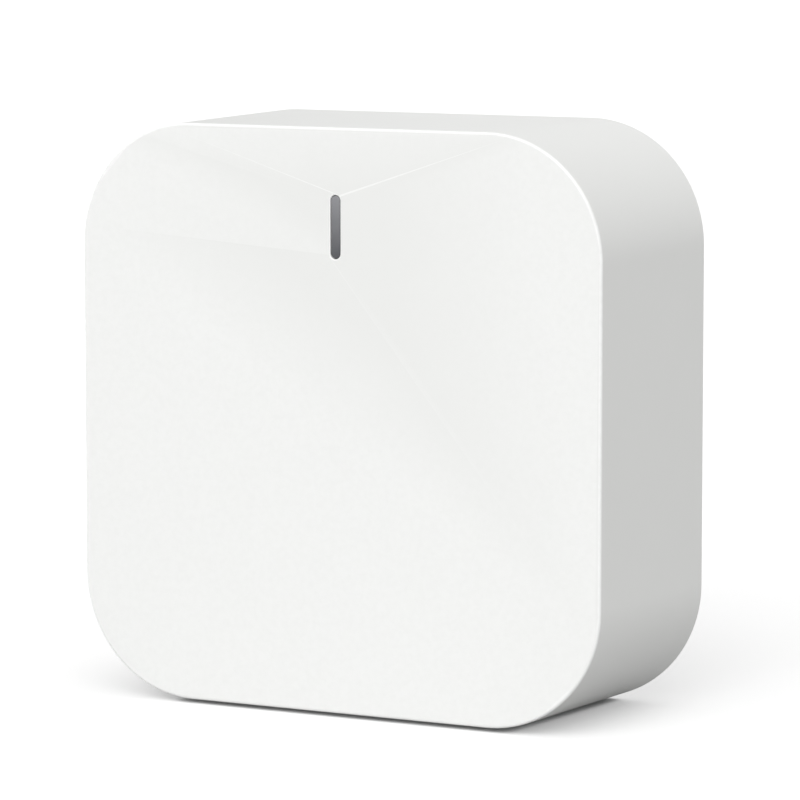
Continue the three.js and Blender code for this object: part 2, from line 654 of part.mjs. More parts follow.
function rearCover() {
  const edge = RIM_WALL + COVER_GAP;
  const plate = loft([
    caseRing(COVER_INNER, edge),
    ...edgeRings(COVER_OUTER, COVER_EDGE_ROUND, -1, edge).reverse(),
  ]);
  const lipOuter = SIDE_WALL + COVER_GAP;
  const lip = build(
    [loft([caseRing(COVER_INNER - LIP_HEIGHT, lipOuter), caseRing(COVER_OUTER - OVERCUT, lipOuter)])],
    [
      loft([
        caseRing(COVER_INNER - LIP_HEIGHT - OVERCUT, lipOuter + LIP_WALL),
        caseRing(COVER_OUTER, lipOuter + LIP_WALL),
      ]),
    ],
  );
  const wells = FOUR_CORNERS.map(({ sideX, sideZ }) =>
    rod(
      WELL_RADIUS + WELL_WALL,
      WELL_END,
      COVER_OUTER - OVERCUT,
      sideX * BOSS_X,
      CASE_MIDDLE + sideZ * BOSS_RISE,
    ),
  );
  const wellHollows = FOUR_CORNERS.flatMap(({ sideX, sideZ }) => {
    const x = sideX * BOSS_X;
    const z = CASE_MIDDLE + sideZ * BOSS_RISE;
    const hole = COVER_SCREW.shankRadius + BOARD_HOLE_GAP;
    return [
      rod(WELL_RADIUS, SCREW_SEAT, COVER_OUTER + OVERCUT, x, z),
      rod(hole, WELL_END - OVERCUT, SCREW_SEAT + OVERCUT, x, z, SCREW_SIDES),
    ];
  });
  const usbRecess = slab(
    slotShape(USB_X, PORTS_LEVEL, RECESS_WIDTH + 2 * RECESS_WALL, RECESS_TALL + 2 * RECESS_WALL),
    RECESS_FLOOR - RECESS_WALL,
    COVER_OUTER - OVERCUT,
    2 * SLOT_STEPS,
  );
  const usbHollow = slab(
    slotShape(USB_X, PORTS_LEVEL, RECESS_WIDTH, RECESS_TALL),
    RECESS_FLOOR,
    COVER_OUTER + OVERCUT,
    2 * SLOT_STEPS,
  );
  const usbHole = slab(
    slotShape(USB_X, PORTS_LEVEL, USB_WIDTH + 2 * COVER_GAP, USB_TALL + 2 * COVER_GAP),
    RECESS_FLOOR - RECESS_WALL - OVERCUT,
    RECESS_FLOOR + OVERCUT,
  );
  const collar = rod(
    COLLAR_RADIUS + COLLAR_WALL,
    COVER_INNER - COLLAR_LENGTH,
    COVER_OUTER - OVERCUT,
    BUTTON_X,
    PORTS_LEVEL,
  );
  const collarHollow = rod(
    COLLAR_RADIUS,
    COVER_INNER - COLLAR_LENGTH - OVERCUT,
    COVER_INNER,
    BUTTON_X,
    PORTS_LEVEL,
  );
  const buttonHole = rod(
    BUTTON_HOLE_RADIUS,
    COVER_INNER - OVERCUT,
    COVER_OUTER + OVERCUT,
    BUTTON_X,
    PORTS_LEVEL,
  );
  const jackWidth = JACK_WIDTH + 2 * JACK_OPENING_GAP;
  const jackTall = JACK_TALL + 2 * JACK_OPENING_GAP;
  const jackHole = slab(
    roundedShape(JACK_X, PORTS_LEVEL, jackWidth, jackTall, JACK_OPENING_GAP),
    COVER_INNER - OVERCUT,
    COVER_OUTER + OVERCUT,
    1,
  );
  const labelRecess = slab(
    roundedShape(
      0,
      LABEL_LEVEL,
      LABEL_WIDTH + COVER_GAP,
      LABEL_HEIGHT + COVER_GAP,
      LABEL_CORNER,
    ),
    COVER_OUTER - LABEL_RECESS,
    COVER_OUTER + OVERCUT,
    2,
  );
  return build(
    [plate, lip, ...wells, usbRecess, collar],
    [
      ...wellHollows,
      usbHollow,
      usbHole,
      collarHollow,
      buttonHole,
      jackHole,
      labelRecess,
      ...ventRow(TOP_VENT_LENGTH, TOP_VENT_LEVEL),
      ...ventRow(BOTTOM_VENT_LENGTH, FOOT_PROUD + BOTTOM_VENT_FROM_BOTTOM),
    ],
  );
}

function ratingLabel() {
  const shape = roundedShape(0, 0, LABEL_WIDTH - COVER_GAP, LABEL_HEIGHT - COVER_GAP, LABEL_CORNER);
  return slab(shape, 0, LABEL_THICKNESS, 2);
}

// ---------------------------------------------------------------- Status light

const GUIDE_FLANGE_FRONT = INNER_FRONT + SEAT_GAP;
const GUIDE_FLANGE_BACK = GUIDE_FLANGE_FRONT + GUIDE_FLANGE_THICKNESS;
const GUIDE_END = ON_FRONT - LED_HEIGHT - LED_GAP;

// The lens in the slot, its flange behind the front wall and the stem that brings the light to it.
function indicatorLens() {
  const size = (extra) => [SLOT_WIDTH + 2 * extra, SLOT_LENGTH + 2 * extra];
  const part = (extra, from, to) =>
    slab(slotShape(0, 0, ...size(extra)), from, to, 2 * SLOT_STEPS);
  return build([
    part(-LENS_GAP, CASE_FRONT + LENS_RECESS, GUIDE_FLANGE_BACK - GUIDE_FLANGE_THICKNESS / 2),
    part(GUIDE_FLANGE, GUIDE_FLANGE_FRONT, GUIDE_FLANGE_BACK),
    part(GUIDE_STEM_EXTRA, GUIDE_FLANGE_BACK - GUIDE_FLANGE_THICKNESS / 2, GUIDE_END),
  ]);
}

// The opaque sleeve that keeps the light out of the rest of the case.
function lightSleeve() {
  const inner = GUIDE_STEM_EXTRA + SLEEVE_WALL / 2;
  const outer = inner + SLEEVE_WALL;
  const front = GUIDE_FLANGE_BACK + SEAT_GAP;
  const outside = slotShape(0, 0, SLOT_WIDTH + 2 * outer, SLOT_LENGTH + 2 * outer);
  const inside = slotShape(0, 0, SLOT_WIDTH + 2 * inner, SLOT_LENGTH + 2 * inner);
  return build([slab(outside, front, ON_FRONT)], [slab(inside, front - OVERCUT, ON_FRONT + OVERCUT)]);
}

// ---------------------------------------------------------------- Main board and what is soldered to it

function mainBoard() {
  const outline = roundedShape(
    0,
    CASE_MIDDLE,
    2 * BOARD_HALF_WIDTH,
    2 * BOARD_HALF_HEIGHT,
    BOARD_CORNER,
  );
  const hole = (screw, x, z) =>
    rod(
      screw.shankRadius + BOARD_HOLE_GAP,
      BOARD_FRONT - OVERCUT,
      BOARD_BACK + OVERCUT,
      x,
      z,
      SCREW_SIDES,
    );
  const cornerHoles = FOUR_CORNERS.map(({ sideX, sideZ }) =>
    hole(BOARD_SCREW, sideX * BOARD_SCREW_X, CASE_MIDDLE + sideZ * BOARD_SCREW_RISE),
  );
  const sinkHoles = [-1, 1].map((side) => hole(SINK_SCREW, side * SINK_LEG_OFFSET, CASE_MIDDLE));
  return build([slab(outline, BOARD_FRONT, BOARD_BACK, 2)], [...cornerHoles, ...sinkHoles]);
}

const PROCESSOR_FACE = ON_FRONT - PROCESSOR_HEIGHT;
const SINK_BACK = PROCESSOR_FACE - THERMAL_PAD_THICKNESS - 2 * SEAT_GAP;
const SINK_TIP = INNER_FRONT + SINK_FRONT_GAP;

// A finned heat sink on two legs, each with a pilot hole for a screw from the board's other side.
function heatSink() {
  const half = SINK_SIZE / 2;
  const finFloor = SINK_BACK - SINK_BASE;
  const base = block(-half, half, finFloor, SINK_BACK, -half, half);
  const finPitch = (SINK_SIZE - SINK_FIN_THICKNESS) / (SINK_FIN_COUNT - 1);
  const fins = Array.from({ length: SINK_FIN_COUNT }, (_, i) => {
    const x = -half + i * finPitch;
    return block(x, x + SINK_FIN_THICKNESS, SINK_TIP, finFloor + SINK_BASE / 2, -half, half);
  });
  const legs = [-1, 1].map((side) => rod(SINK_LEG_RADIUS, finFloor, ON_FRONT, side * SINK_LEG_OFFSET));
  const pilots = [-1, 1].map((side) =>
    rod(
      SINK_SCREW.shankRadius + THREAD_GAP,
      BOARD_BACK - SINK_SCREW.length - THREAD_GAP,
      ON_FRONT + OVERCUT,
      side * SINK_LEG_OFFSET,
      0,
      SCREW_SIDES,
    ),
  );
  return build([base, ...fins, ...legs], pilots);
}

// A surface-mounted electrolytic capacitor: a plastic foot and a can with a waist above it.
function bulkCapacitor({ canRadius, canHeight, footSize, footHeight }) {
  const foot = moulded({ width: footSize, height: footSize, from: ON_FRONT, to: ON_FRONT - footHeight });
  const start = ON_FRONT - footHeight / 2;
  const crimp = ON_FRONT - footHeight - CRIMP_RISE;
  const top = ON_FRONT - canHeight;
  const can = turned([
    [0, top],
    [canRadius - CAN_EDGE, top],
    [canRadius, top + CAN_EDGE],
    [canRadius, crimp - CRIMP_HALF],
    [canRadius - CRIMP_DEPTH, crimp],
    [canRadius, crimp + CRIMP_HALF],
    [canRadius, start],
    [0, start],
  ]);
  return build([foot, can]);
}

// A moulded power inductor with its two end terminals folded under it.
function powerInductor({ size, height, corner }) {
  const body = moulded({ width: size, height: size, from: ON_FRONT, to: ON_FRONT - height, corner });
  const reach = size / 2 + TERMINAL_PROUD;
  const terminal = block(-reach, reach, ON_FRONT - TERMINAL_THICKNESS, ON_FRONT, -size / 4, size / 4);
  return build([body, terminal]);
}

// ---------------------------------------------------------------- Sockets

// The hollow that takes a modular plug and its latch, seen from the mouth and grown by a margin.
function plugShape(margin = 0) {
  const half = PLUG_WIDTH / 2 + margin;
  const latch = LATCH_WIDTH / 2 + margin;
  const bottom = PLUG_BOTTOM - margin;
  const shape = new THREE.Shape();
  shape.moveTo(half, PLUG_TOP + margin);
  shape.lineTo(-half, PLUG_TOP + margin);
  shape.lineTo(-half, bottom);
  shape.lineTo(-latch, bottom);
  shape.lineTo(-latch, bottom - LATCH_DROP);
  shape.lineTo(-latch / 2, bottom - LATCH_DROP);
  shape.lineTo(-latch / 2, bottom - 2 * LATCH_DROP + margin);
  shape.lineTo(latch / 2, bottom - 2 * LATCH_DROP + margin);
  shape.lineTo(latch / 2, bottom - LATCH_DROP);
  shape.lineTo(latch, bottom - LATCH_DROP);
  shape.lineTo(latch, bottom);
  shape.lineTo(half, bottom);
  return shape;
}

function ethernetHousing() {
  const inset = JACK_SHEET + SEAT_GAP;
  const halfWidth = JACK_WIDTH / 2 - inset;
  const halfTall = JACK_TALL / 2 - inset;
  const body = block(-halfWidth, halfWidth, SEAT_GAP, JACK_LENGTH - inset, -halfTall, halfTall);
  return build([body], [slab(plugShape(), JACK_LENGTH - PLUG_DEPTH, JACK_LENGTH + OVERCUT)]);
}

function ethernetShield() {
  const half = JACK_WIDTH / 2;
  const halfTall = JACK_TALL / 2;
  const inner = half - JACK_SHEET;
  const innerTall = halfTall - JACK_SHEET;
  return build(
    [block(-half, half, SEAT_GAP, JACK_LENGTH, -halfTall, halfTall)],
    [
      block(-inner, inner, SEAT_GAP - OVERCUT, JACK_LENGTH - JACK_SHEET, -innerTall, innerTall),
      slab(plugShape(JACK_SHEET / 2), JACK_LENGTH - OVERCUT, JACK_LENGTH + OVERCUT),
    ],
  );
}

// Eight spring contacts that rise towards the mouth, held in a bar at the socket's inner end.
function ethernetContacts() {
  const floor = JACK_LENGTH - PLUG_DEPTH + SEAT_GAP;
  const barTop = floor + CONTACT_BAR_LENGTH;
  const barHalf = PLUG_WIDTH / 2 - CONTACT_ROOM;
  const ceiling = PLUG_TOP - CONTACT_ROOM;
  const low = ceiling - CONTACT_DROP;
  const bar = block(-barHalf, barHalf, floor, barTop, low - CONTACT_BAR_WALL, ceiling);
  const root = barTop - CONTACT_BURIED;
  const mouthEnd = JACK_LENGTH - CONTACT_SETBACK;
  const side = new THREE.Shape();
  side.moveTo(root, low);
  side.lineTo(mouthEnd, ceiling - CONTACT_THICKNESS);
  side.lineTo(mouthEnd, ceiling);
  side.lineTo(root, low + CONTACT_THICKNESS);
  const contacts = Array.from({ length: CONTACT_COUNT }, (_, i) => {
    const x = (i - (CONTACT_COUNT - 1) / 2) * CONTACT_PITCH;
    const wire = new THREE.ExtrudeGeometry(side, { depth: CONTACT_WIDTH, bevelEnabled: false });
    const lyingAlongY = new THREE.Matrix4().makeBasis(
      new THREE.Vector3(0, 1, 0),
      new THREE.Vector3(0, 0, 1),
      new THREE.Vector3(1, 0, 0),
    );
    return wire.applyMatrix4(lyingAlongY).translate(x - CONTACT_WIDTH / 2, 0, 0);
  });
  return build([bar, ...contacts]);
}

function usbShell() {
  const outer = slotShape(0, 0, USB_WIDTH, USB_TALL);
  const inner = slotShape(0, 0, USB_WIDTH - 2 * USB_SHEET, USB_TALL - 2 * USB_SHEET);
  return build(
    [slab(outer, 0, USB_LENGTH, 2 * SLOT_STEPS)],
    [slab(inner, -OVERCUT, USB_LENGTH + OVERCUT, 2 * SLOT_STEPS)],
  );
}

// The moulding inside the shell, with the tongue that the plug closes over.
function usbTongue() {
  const inset = USB_SHEET + SEAT_GAP;
  const base = slotShape(0, 0, USB_WIDTH - 2 * inset, USB_TALL - 2 * inset);
  const baseTop = USB_LENGTH - TONGUE_BASE_DEPTH;
  const half = TONGUE_WIDTH / 2;
  const halfTall = TONGUE_TALL / 2;
  const stepTall = halfTall + TONGUE_STEP_RISE;
  const step = block(-half, half, 0, baseTop + TONGUE_STEP_LENGTH, -stepTall, stepTall);
  const blade = block(-half, half, 0, USB_LENGTH - TONGUE_SETBACK, -halfTall, halfTall);
  return build([slab(base, 0, baseTop), step, blade]);
}

// ---------------------------------------------------------------- Pairing button and its switch

function pairingButton() {
  const face = COVER_OUTER + BUTTON_PROUD;
  const flangeTop = COVER_INNER - BUTTON_GAP / 2;
  const flangeBottom = flangeTop - BUTTON_FLANGE_THICKNESS;
  const stemEnd = ON_BACK + SWITCH_HEIGHT + PLUNGER_PROUD + BUTTON_FREE_PLAY;
  return turned([
    [0, stemEnd],
    [BUTTON_STEM_RADIUS, stemEnd],
    [BUTTON_STEM_RADIUS, flangeBottom],
    [BUTTON_FLANGE_RADIUS, flangeBottom],
    [BUTTON_FLANGE_RADIUS, flangeTop],
    [BUTTON_RADIUS, flangeTop],
    [BUTTON_RADIUS, face - BUTTON_EDGE],
    [BUTTON_RADIUS - BUTTON_EDGE / 3, face - BUTTON_EDGE / 3],
    [BUTTON_RADIUS - BUTTON_EDGE, face],
    [0, face],
  ]);
}

function switchBody() {
  const holeRadius = PLUNGER_RADIUS + PLUNGER_GAP;
  const floor = SWITCH_HEIGHT - PLUNGER_BURIED - PLUNGER_ROOM;
  const body = moulded({
    width: SWITCH_SIZE,
    height: SWITCH_SIZE,
    from: 0,
    to: SWITCH_HEIGHT,
    corner: SWITCH_CORNER,
  });
  return build([body], [rod(holeRadius, floor, SWITCH_HEIGHT + OVERCUT)]);
}

function switchPlunger() {
  return turned([
    [0, -PLUNGER_BURIED],
    [PLUNGER_RADIUS, -PLUNGER_BURIED],
    [PLUNGER_RADIUS, PLUNGER_PROUD - PLUNGER_EDGE],
    [PLUNGER_RADIUS - PLUNGER_EDGE, PLUNGER_PROUD],
    [0, PLUNGER_PROUD],
  ]);
}

// ---------------------------------------------------------------- Radio modules and antennas

const ANTENNA_FRONT = BOARD_BACK + ANTENNA_BEHIND_BOARD;
const ANTENNA_OUTER =
  CASE_WIDTH / 2 - (CASE_BACK - ANTENNA_FRONT) * MOULD_TAPER - SIDE_WALL - ANTENNA_WALL_GAP;
const ANTENNA_INNER = ANTENNA_OUTER - ANTENNA_THICKNESS;

// A stamped shield can, open towards its module.
function shieldCan(width, height) {
  const inner = { width: width - 2 * SHIELD_SHEET, height: height - 2 * SHIELD_SHEET };
  const outside = moulded({ width, height, from: 0, to: SHIELD_HEIGHT, chamfer: 0.3, corner: 0.6 });
  const hollow = moulded({
    ...inner,
    from: -OVERCUT,
    to: SHIELD_HEIGHT - SHIELD_SHEET,
    chamfer: 0.2,
    corner: 0.4,
  });
  return build([outside], [hollow]);
}

// The coaxial lead from its plug to the antenna, over the board's edge, drawn in the case's place.
// It leaves the plug level, falls past the board's edge and meets the antenna level.
function coaxLead(side, plugX, plugY, plugZ) {
  const fall = plugZ - (CASE_MIDDLE + ANTENNA_FEED_RISE);
  const edge = BOARD_HALF_WIDTH;
  const point = (x, back, fallen) => new THREE.Vector3(side * x, plugY + back, plugZ - fallen * fall);
  const points = [
    point(side * plugX + COAX_PLUG_RADIUS + COAX_END_GAP, 0, 0),
    point(side * plugX + COAX_STRAIGHT, 0, 0),
    point(edge - 4, 0.4, 0.2),
    point(edge + COAX_EDGE_ROOM, 0.6, 0.48),
    point(ANTENNA_INNER - 4, 1, 0.95),
    point(ANTENNA_INNER - COAX_END_GAP, 1.4, 1),
  ];
  const section = new THREE.Shape();
  section.absarc(0, 0, COAX_RADIUS, 0, 2 * Math.PI);
  const extrudePath = new THREE.CatmullRomCurve3(points);
  return new THREE.ExtrudeGeometry(section, { steps: 24, curveSegments: 4, extrudePath });
}

// A radio module with its shield, its coaxial socket and plug, the lead and the antenna on the wall.
// side is -1 on the left of the case seen from the front, +1 on the right.
function addRadio(parent, prefix, { side, width, height, shieldTall }) {
  const group = addGroup(parent, prefix + "_radio");
  const x = side * (MODULE_FROM_CENTRE + width / 2);
  const middle = BOARD_TOP - MODULE_FROM_TOP - height / 2;
  const face = ON_BACK + MODULE_THICKNESS + SEAT_GAP;
  const shape = roundedShape(0, 0, width, height, MODULE_CORNER);
  addMesh(
    group,
    prefix + "_board",
    slab(shape, 0, MODULE_THICKNESS, 1),
    FINISH.moduleLaminate,
    [x, ON_BACK, middle],
  );
  const shieldMiddle = middle - height / 2 + shieldTall / 2 + SHIELD_MARGIN;
  addMesh(
    group,
    prefix + "_shield",
    shieldCan(width - 2 * SHIELD_MARGIN, shieldTall),
    FINISH.tinnedSteel,
    [x, face, shieldMiddle],
  );
  const plugX = x + side * (width / 2 - COAX_SOCKET_SIZE);
  const plugZ = middle + height / 2 - COAX_SOCKET_SIZE;
  addMesh(
    group,
    prefix + "_socket",
    moulded({ width: COAX_SOCKET_SIZE, height: COAX_SOCKET_SIZE, from: 0, to: COAX_SOCKET_HEIGHT }),
    FINISH.gold,
    [plugX, face, plugZ],
  );
  const plugSeat = face + COAX_SOCKET_HEIGHT + SEAT_GAP;
  addMesh(
    group,
    prefix + "_lead_plug",
    rod(COAX_PLUG_RADIUS, 0, COAX_PLUG_HEIGHT),
    FINISH.gold,
    [plugX, plugSeat, plugZ],
  );
  const leadY = plugSeat + COAX_PLUG_HEIGHT / 2;
  addMesh(group, prefix + "_lead", coaxLead(side, plugX, leadY, plugZ), FINISH.coaxSheath);
  const antenna = block(
    -ANTENNA_THICKNESS / 2,
    ANTENNA_THICKNESS / 2,
    ANTENNA_FRONT,
    ANTENNA_FRONT + ANTENNA_WIDTH,
    -ANTENNA_LENGTH / 2,
    ANTENNA_LENGTH / 2,
  );
  const antennaX = side * (ANTENNA_OUTER - ANTENNA_THICKNESS / 2);
  addMesh(group, prefix + "_antenna", antenna, FINISH.blackPlastic, [antennaX, 0, CASE_MIDDLE]);
}

// ---------------------------------------------------------------- Ballast

function ballastPlate() {
  const middleY = (BALLAST_FRONT + BALLAST_BACK) / 2;
  const shape = roundedShape(
    0,
    middleY,
    2 * BALLAST_HALF_LENGTH,
    BALLAST_BACK - BALLAST_FRONT,
    BALLAST_CORNER,
  );
  const holes = [-1, 1].map((side) =>
    pillar(
      BALLAST_BOSS_RADIUS + BALLAST_HOLE_GAP,
      BALLAST_BOTTOM - OVERCUT,
      BALLAST_TOP + OVERCUT,
      side * BALLAST_SCREW_X,
      BALLAST_SCREW_Y,
    ),
  );
  return build([upright(shape, BALLAST_BOTTOM, BALLAST_TOP)], holes);
}

// ---------------------------------------------------------------- Assembly

function addCase(hub) {
  const group = addGroup(hub, "case");
  addMesh(group, "front_shell", frontShell(), FINISH.whitePlastic);
  addMesh(group, "rear_cover", rearCover(), FINISH.whitePlastic);
  addMesh(
    group,
    "rating_label",
    ratingLabel(),
    FINISH.paperLabel,
    [0, COVER_OUTER - LABEL_RECESS + SEAT_GAP, LABEL_LEVEL],
  );
  addMesh(group, "foot_left", foot(), FINISH.rubber, [-FOOT_X, 0, 0]);
  addMesh(group, "foot_right", foot(), FINISH.rubber, [FOOT_X, 0, 0]);
  for (const { name, sideX, sideZ } of FOUR_CORNERS) {
    addMesh(
      group,
      "cover_screw_" + name,
      screwGeometry(COVER_SCREW),
      FINISH.blackedSteel,
      [sideX * BOSS_X, SCREW_SEAT + SEAT_GAP, CASE_MIDDLE + sideZ * BOSS_RISE],
    );
  }
}

function addBallast(hub) {
  const group = addGroup(hub, "ballast");
  addMesh(group, "ballast_plate", ballastPlate(), FINISH.tinnedSteel);
  for (const [name, side] of [["left", -1], ["right", 1]]) {
    const screw = addMesh(
      group,
      "ballast_screw_" + name,
      screwGeometry(BALLAST_SCREW),
      FINISH.tinnedSteel,
      [side * BALLAST_SCREW_X, BALLAST_SCREW_Y, BALLAST_TOP + SEAT_GAP],
    );
    screw.rotation.x = Math.PI / 2;
  }
}

function addStatusLight(hub) {
  const group = addGroup(hub, "status_light");
  group.position.z = SLOT_LEVEL;
  addMesh(group, "indicator_lens", indicatorLens(), FINISH.smokedLens);
  addMesh(group, "light_sleeve", lightSleeve(), FINISH.blackPlastic);
  const led = moulded({ width: LED_SIZE, height: LED_SIZE, from: 0, to: -LED_HEIGHT, chamfer: 0.1 });
  for (let i = 0; i < LED_COUNT; i++) {
    const rise = (i - (LED_COUNT - 1) / 2) * LED_PITCH;
    addMesh(group, "status_led_" + (i + 1), led, FINISH.ledResin, [0, ON_FRONT, rise]);
  }
}

function addProcessor(parent) {
  const group = addGroup(parent, "processor_stack");
  group.position.z = CASE_MIDDLE;
  const size = { width: PROCESSOR_SIZE, height: PROCESSOR_SIZE };
  addMesh(
    group,
    "processor",
    moulded({ ...size, from: ON_FRONT, to: PROCESSOR_FACE }),
    FINISH.chipResin,
  );
  addMesh(
    group,
    "thermal_pad",
    moulded({
      ...size,
      from: PROCESSOR_FACE - SEAT_GAP,
      to: PROCESSOR_FACE - SEAT_GAP - THERMAL_PAD_THICKNESS,
      chamfer: 0.1,
    }),
    FINISH.thermalPad,
  );
  addMesh(group, "heat_sink", heatSink(), FINISH.aluminium);
  for (const [name, side] of [["left", -1], ["right", 1]]) {
    addMesh(
      group,
      "heat_sink_screw_" + name,
      screwGeometry(SINK_SCREW),
      FINISH.tinnedSteel,
      [side * SINK_LEG_OFFSET, ON_BACK, 0],
    );
  }
}

function addBoard(hub) {
  const group = addGroup(hub, "electronics");
  addMesh(group, "main_board", mainBoard(), FINISH.boardLaminate);
  for (const { name, sideX, sideZ } of FOUR_CORNERS) {
    addMesh(
      group,
      "board_screw_" + name,
      screwGeometry(BOARD_SCREW),
      FINISH.tinnedSteel,
      [sideX * BOARD_SCREW_X, ON_BACK, CASE_MIDDLE + sideZ * BOARD_SCREW_RISE],
    );
  }
  addProcessor(group);

  const onFront = (name, { width, height, thickness }, finish, x, z) =>
    addMesh(
      group,
      name,
      moulded({ width, height, from: ON_FRONT, to: ON_FRONT - thickness }),
      finish,
      [x, 0, z],
    );
  const besideSink = (chip) => SINK_SIZE / 2 + CHIP_GAP + chip.width / 2;
  const crystalLevel = CASE_MIDDLE - SINK_SIZE / 2 - CRYSTAL_DROP;
  onFront("memory_chip", MEMORY_CHIP, FINISH.chipResin, -besideSink(MEMORY_CHIP), CASE_MIDDLE);
  onFront("flash_chip", FLASH_CHIP, FINISH.chipResin, besideSink(FLASH_CHIP), CASE_MIDDLE);
  onFront("clock_crystal", CRYSTAL, FINISH.tinnedSteel, CRYSTAL_X, crystalLevel);

  // Inductors and capacitors share the row between the two lower posts evenly.
  const powerRow = BOARD_BOTTOM + POWER_ROW_RISE;
  const powerPitch = (2 * (BOARD_SCREW_X - POST_RADIUS)) / 4;
  for (const [i, place] of [0.5, 1.5].entries()) {
    const x = place * powerPitch;
    const number = i + 1;
    addMesh(group, "power_inductor_" + number, powerInductor(INDUCTOR), FINISH.ferrite, [x, 0, powerRow]);
    const capacitor = bulkCapacitor(CAPACITOR);
    addMesh(group, "bulk_capacitor_" + number, capacitor, FINISH.aluminium, [-x, 0, powerRow]);
  }

  addRadio(group, "wifi", WIFI_MODULE);
  addRadio(group, "mesh", MESH_MODULE);

  // The Ethernet transformer and controller stand over the socket, beside the heat sink's screw.
  const overJack = PORTS_LEVEL + JACK_TALL / 2;
  const outerEdge = SINK_LEG_OFFSET + SINK_SCREW.headRadius + CHIP_GAP / 2 + TRANSFORMER.width;
  const onBack = (name, { width, height, thickness }, rise, chamfer) =>
    addMesh(
      group,
      name,
      moulded({ width, height, from: ON_BACK, to: ON_BACK + thickness, chamfer }),
      FINISH.chipResin,
      [outerEdge - width / 2, 0, overJack + rise + height / 2],
    );
  onBack("ethernet_transformer", TRANSFORMER, CHIP_GAP, 0.4);
  onBack("ethernet_controller", CONTROLLER, 2 * CHIP_GAP + TRANSFORMER.height, 0.2);
}

function addSockets(hub) {
  const jack = addGroup(hub, "ethernet_jack");
  jack.position.set(JACK_X, BOARD_BACK, PORTS_LEVEL);
  addMesh(jack, "ethernet_housing", ethernetHousing(), FINISH.blackPlastic);
  addMesh(jack, "ethernet_shield", ethernetShield(), FINISH.tinnedSteel);
  addMesh(jack, "ethernet_contacts", ethernetContacts(), FINISH.gold);

  const usb = addGroup(hub, "usb_socket");
  usb.position.set(USB_X, ON_BACK, PORTS_LEVEL);
  addMesh(usb, "usb_shell", usbShell(), FINISH.tinnedSteel);
  addMesh(usb, "usb_tongue", usbTongue(), FINISH.blackPlastic);
}

function addButton(hub) {
  const group = addGroup(hub, "pairing_control");
  group.position.set(BUTTON_X, 0, PORTS_LEVEL);
  addMesh(group, "pairing_button", pairingButton(), FINISH.whitePlastic);
  addMesh(group, "switch_body", switchBody(), FINISH.blackPlastic, [0, ON_BACK, 0]);
  addMesh(
    group,
    "switch_plunger",
    switchPlunger(),
    FINISH.blackPlastic,
    [0, ON_BACK + SWITCH_HEIGHT, 0],
  );
}

const hub = new THREE.Group();
hub.name = "smart_home_hub";
addCase(hub);
addBallast(hub);
addStatusLight(hub);
addBoard(hub);
addSockets(hub);
addButton(hub);

export default hub;
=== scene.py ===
"""Looks of a smart home hub: an upright square case with a slim status light in its front.

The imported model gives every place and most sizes. Lengths are in metres, in the model's own frame: the front
face looks along -Y, +X is the right-hand side seen from the front and +Z is up.
"""
import math
from collections import Counter
from contextlib import contextmanager

import bmesh
import bpy
from bpy.props import FloatProperty, FloatVectorProperty, IntProperty, PointerProperty
from mathutils import Matrix, Vector


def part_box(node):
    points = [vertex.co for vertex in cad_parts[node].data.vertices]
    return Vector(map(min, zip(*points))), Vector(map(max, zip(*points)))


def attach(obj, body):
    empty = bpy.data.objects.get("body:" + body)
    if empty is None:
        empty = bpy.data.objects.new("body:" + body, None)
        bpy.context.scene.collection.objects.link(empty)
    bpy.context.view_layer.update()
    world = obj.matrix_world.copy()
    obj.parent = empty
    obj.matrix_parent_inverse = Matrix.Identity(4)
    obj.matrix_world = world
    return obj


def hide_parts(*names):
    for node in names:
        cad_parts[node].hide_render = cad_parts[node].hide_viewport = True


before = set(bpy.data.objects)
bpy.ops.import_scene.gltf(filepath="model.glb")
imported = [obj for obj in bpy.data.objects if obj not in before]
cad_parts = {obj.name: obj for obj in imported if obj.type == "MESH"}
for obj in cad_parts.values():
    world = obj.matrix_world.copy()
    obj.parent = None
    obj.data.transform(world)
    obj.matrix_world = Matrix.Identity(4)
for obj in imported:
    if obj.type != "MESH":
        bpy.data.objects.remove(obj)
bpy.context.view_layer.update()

bl_info = {
    "name": "Smart Home Hub",
    "version": (1, 0, 0),
    "blender": (4, 5, 0),
    "location": "View3D > Sidebar > Hub",
    "description": "Builds the case, sockets, button and electronics of an upright smart home hub",
    "category": "Object",
}

MM = 0.001
OVERCUT = 1 * MM  # how far a cutting tool runs past a face
MERGE = 0.002 * MM
SMOOTH_ANGLE = math.radians(38)
ACROSS_X, ALONG_Y, UP_Z = 0, 1, 2
CORNERS = {"top_left": (-1, 1), "top_right": (1, 1), "bottom_right": (1, -1), "bottom_left": (-1, -1)}
SIDES = {"left": -1, "right": 1}


# ---------------------------------------------------------------- Sizes and colours that a user would change


def length(name, description, millimetres):
    return FloatProperty(
        name=name, description=description, default=millimetres * MM, min=0.0, unit="LENGTH", precision=5
    )


def colour(name, description, red, green, blue):
    return FloatVectorProperty(
        name=name, description=description, default=(red, green, blue), min=0.0, max=1.0, size=3, subtype="COLOR"
    )


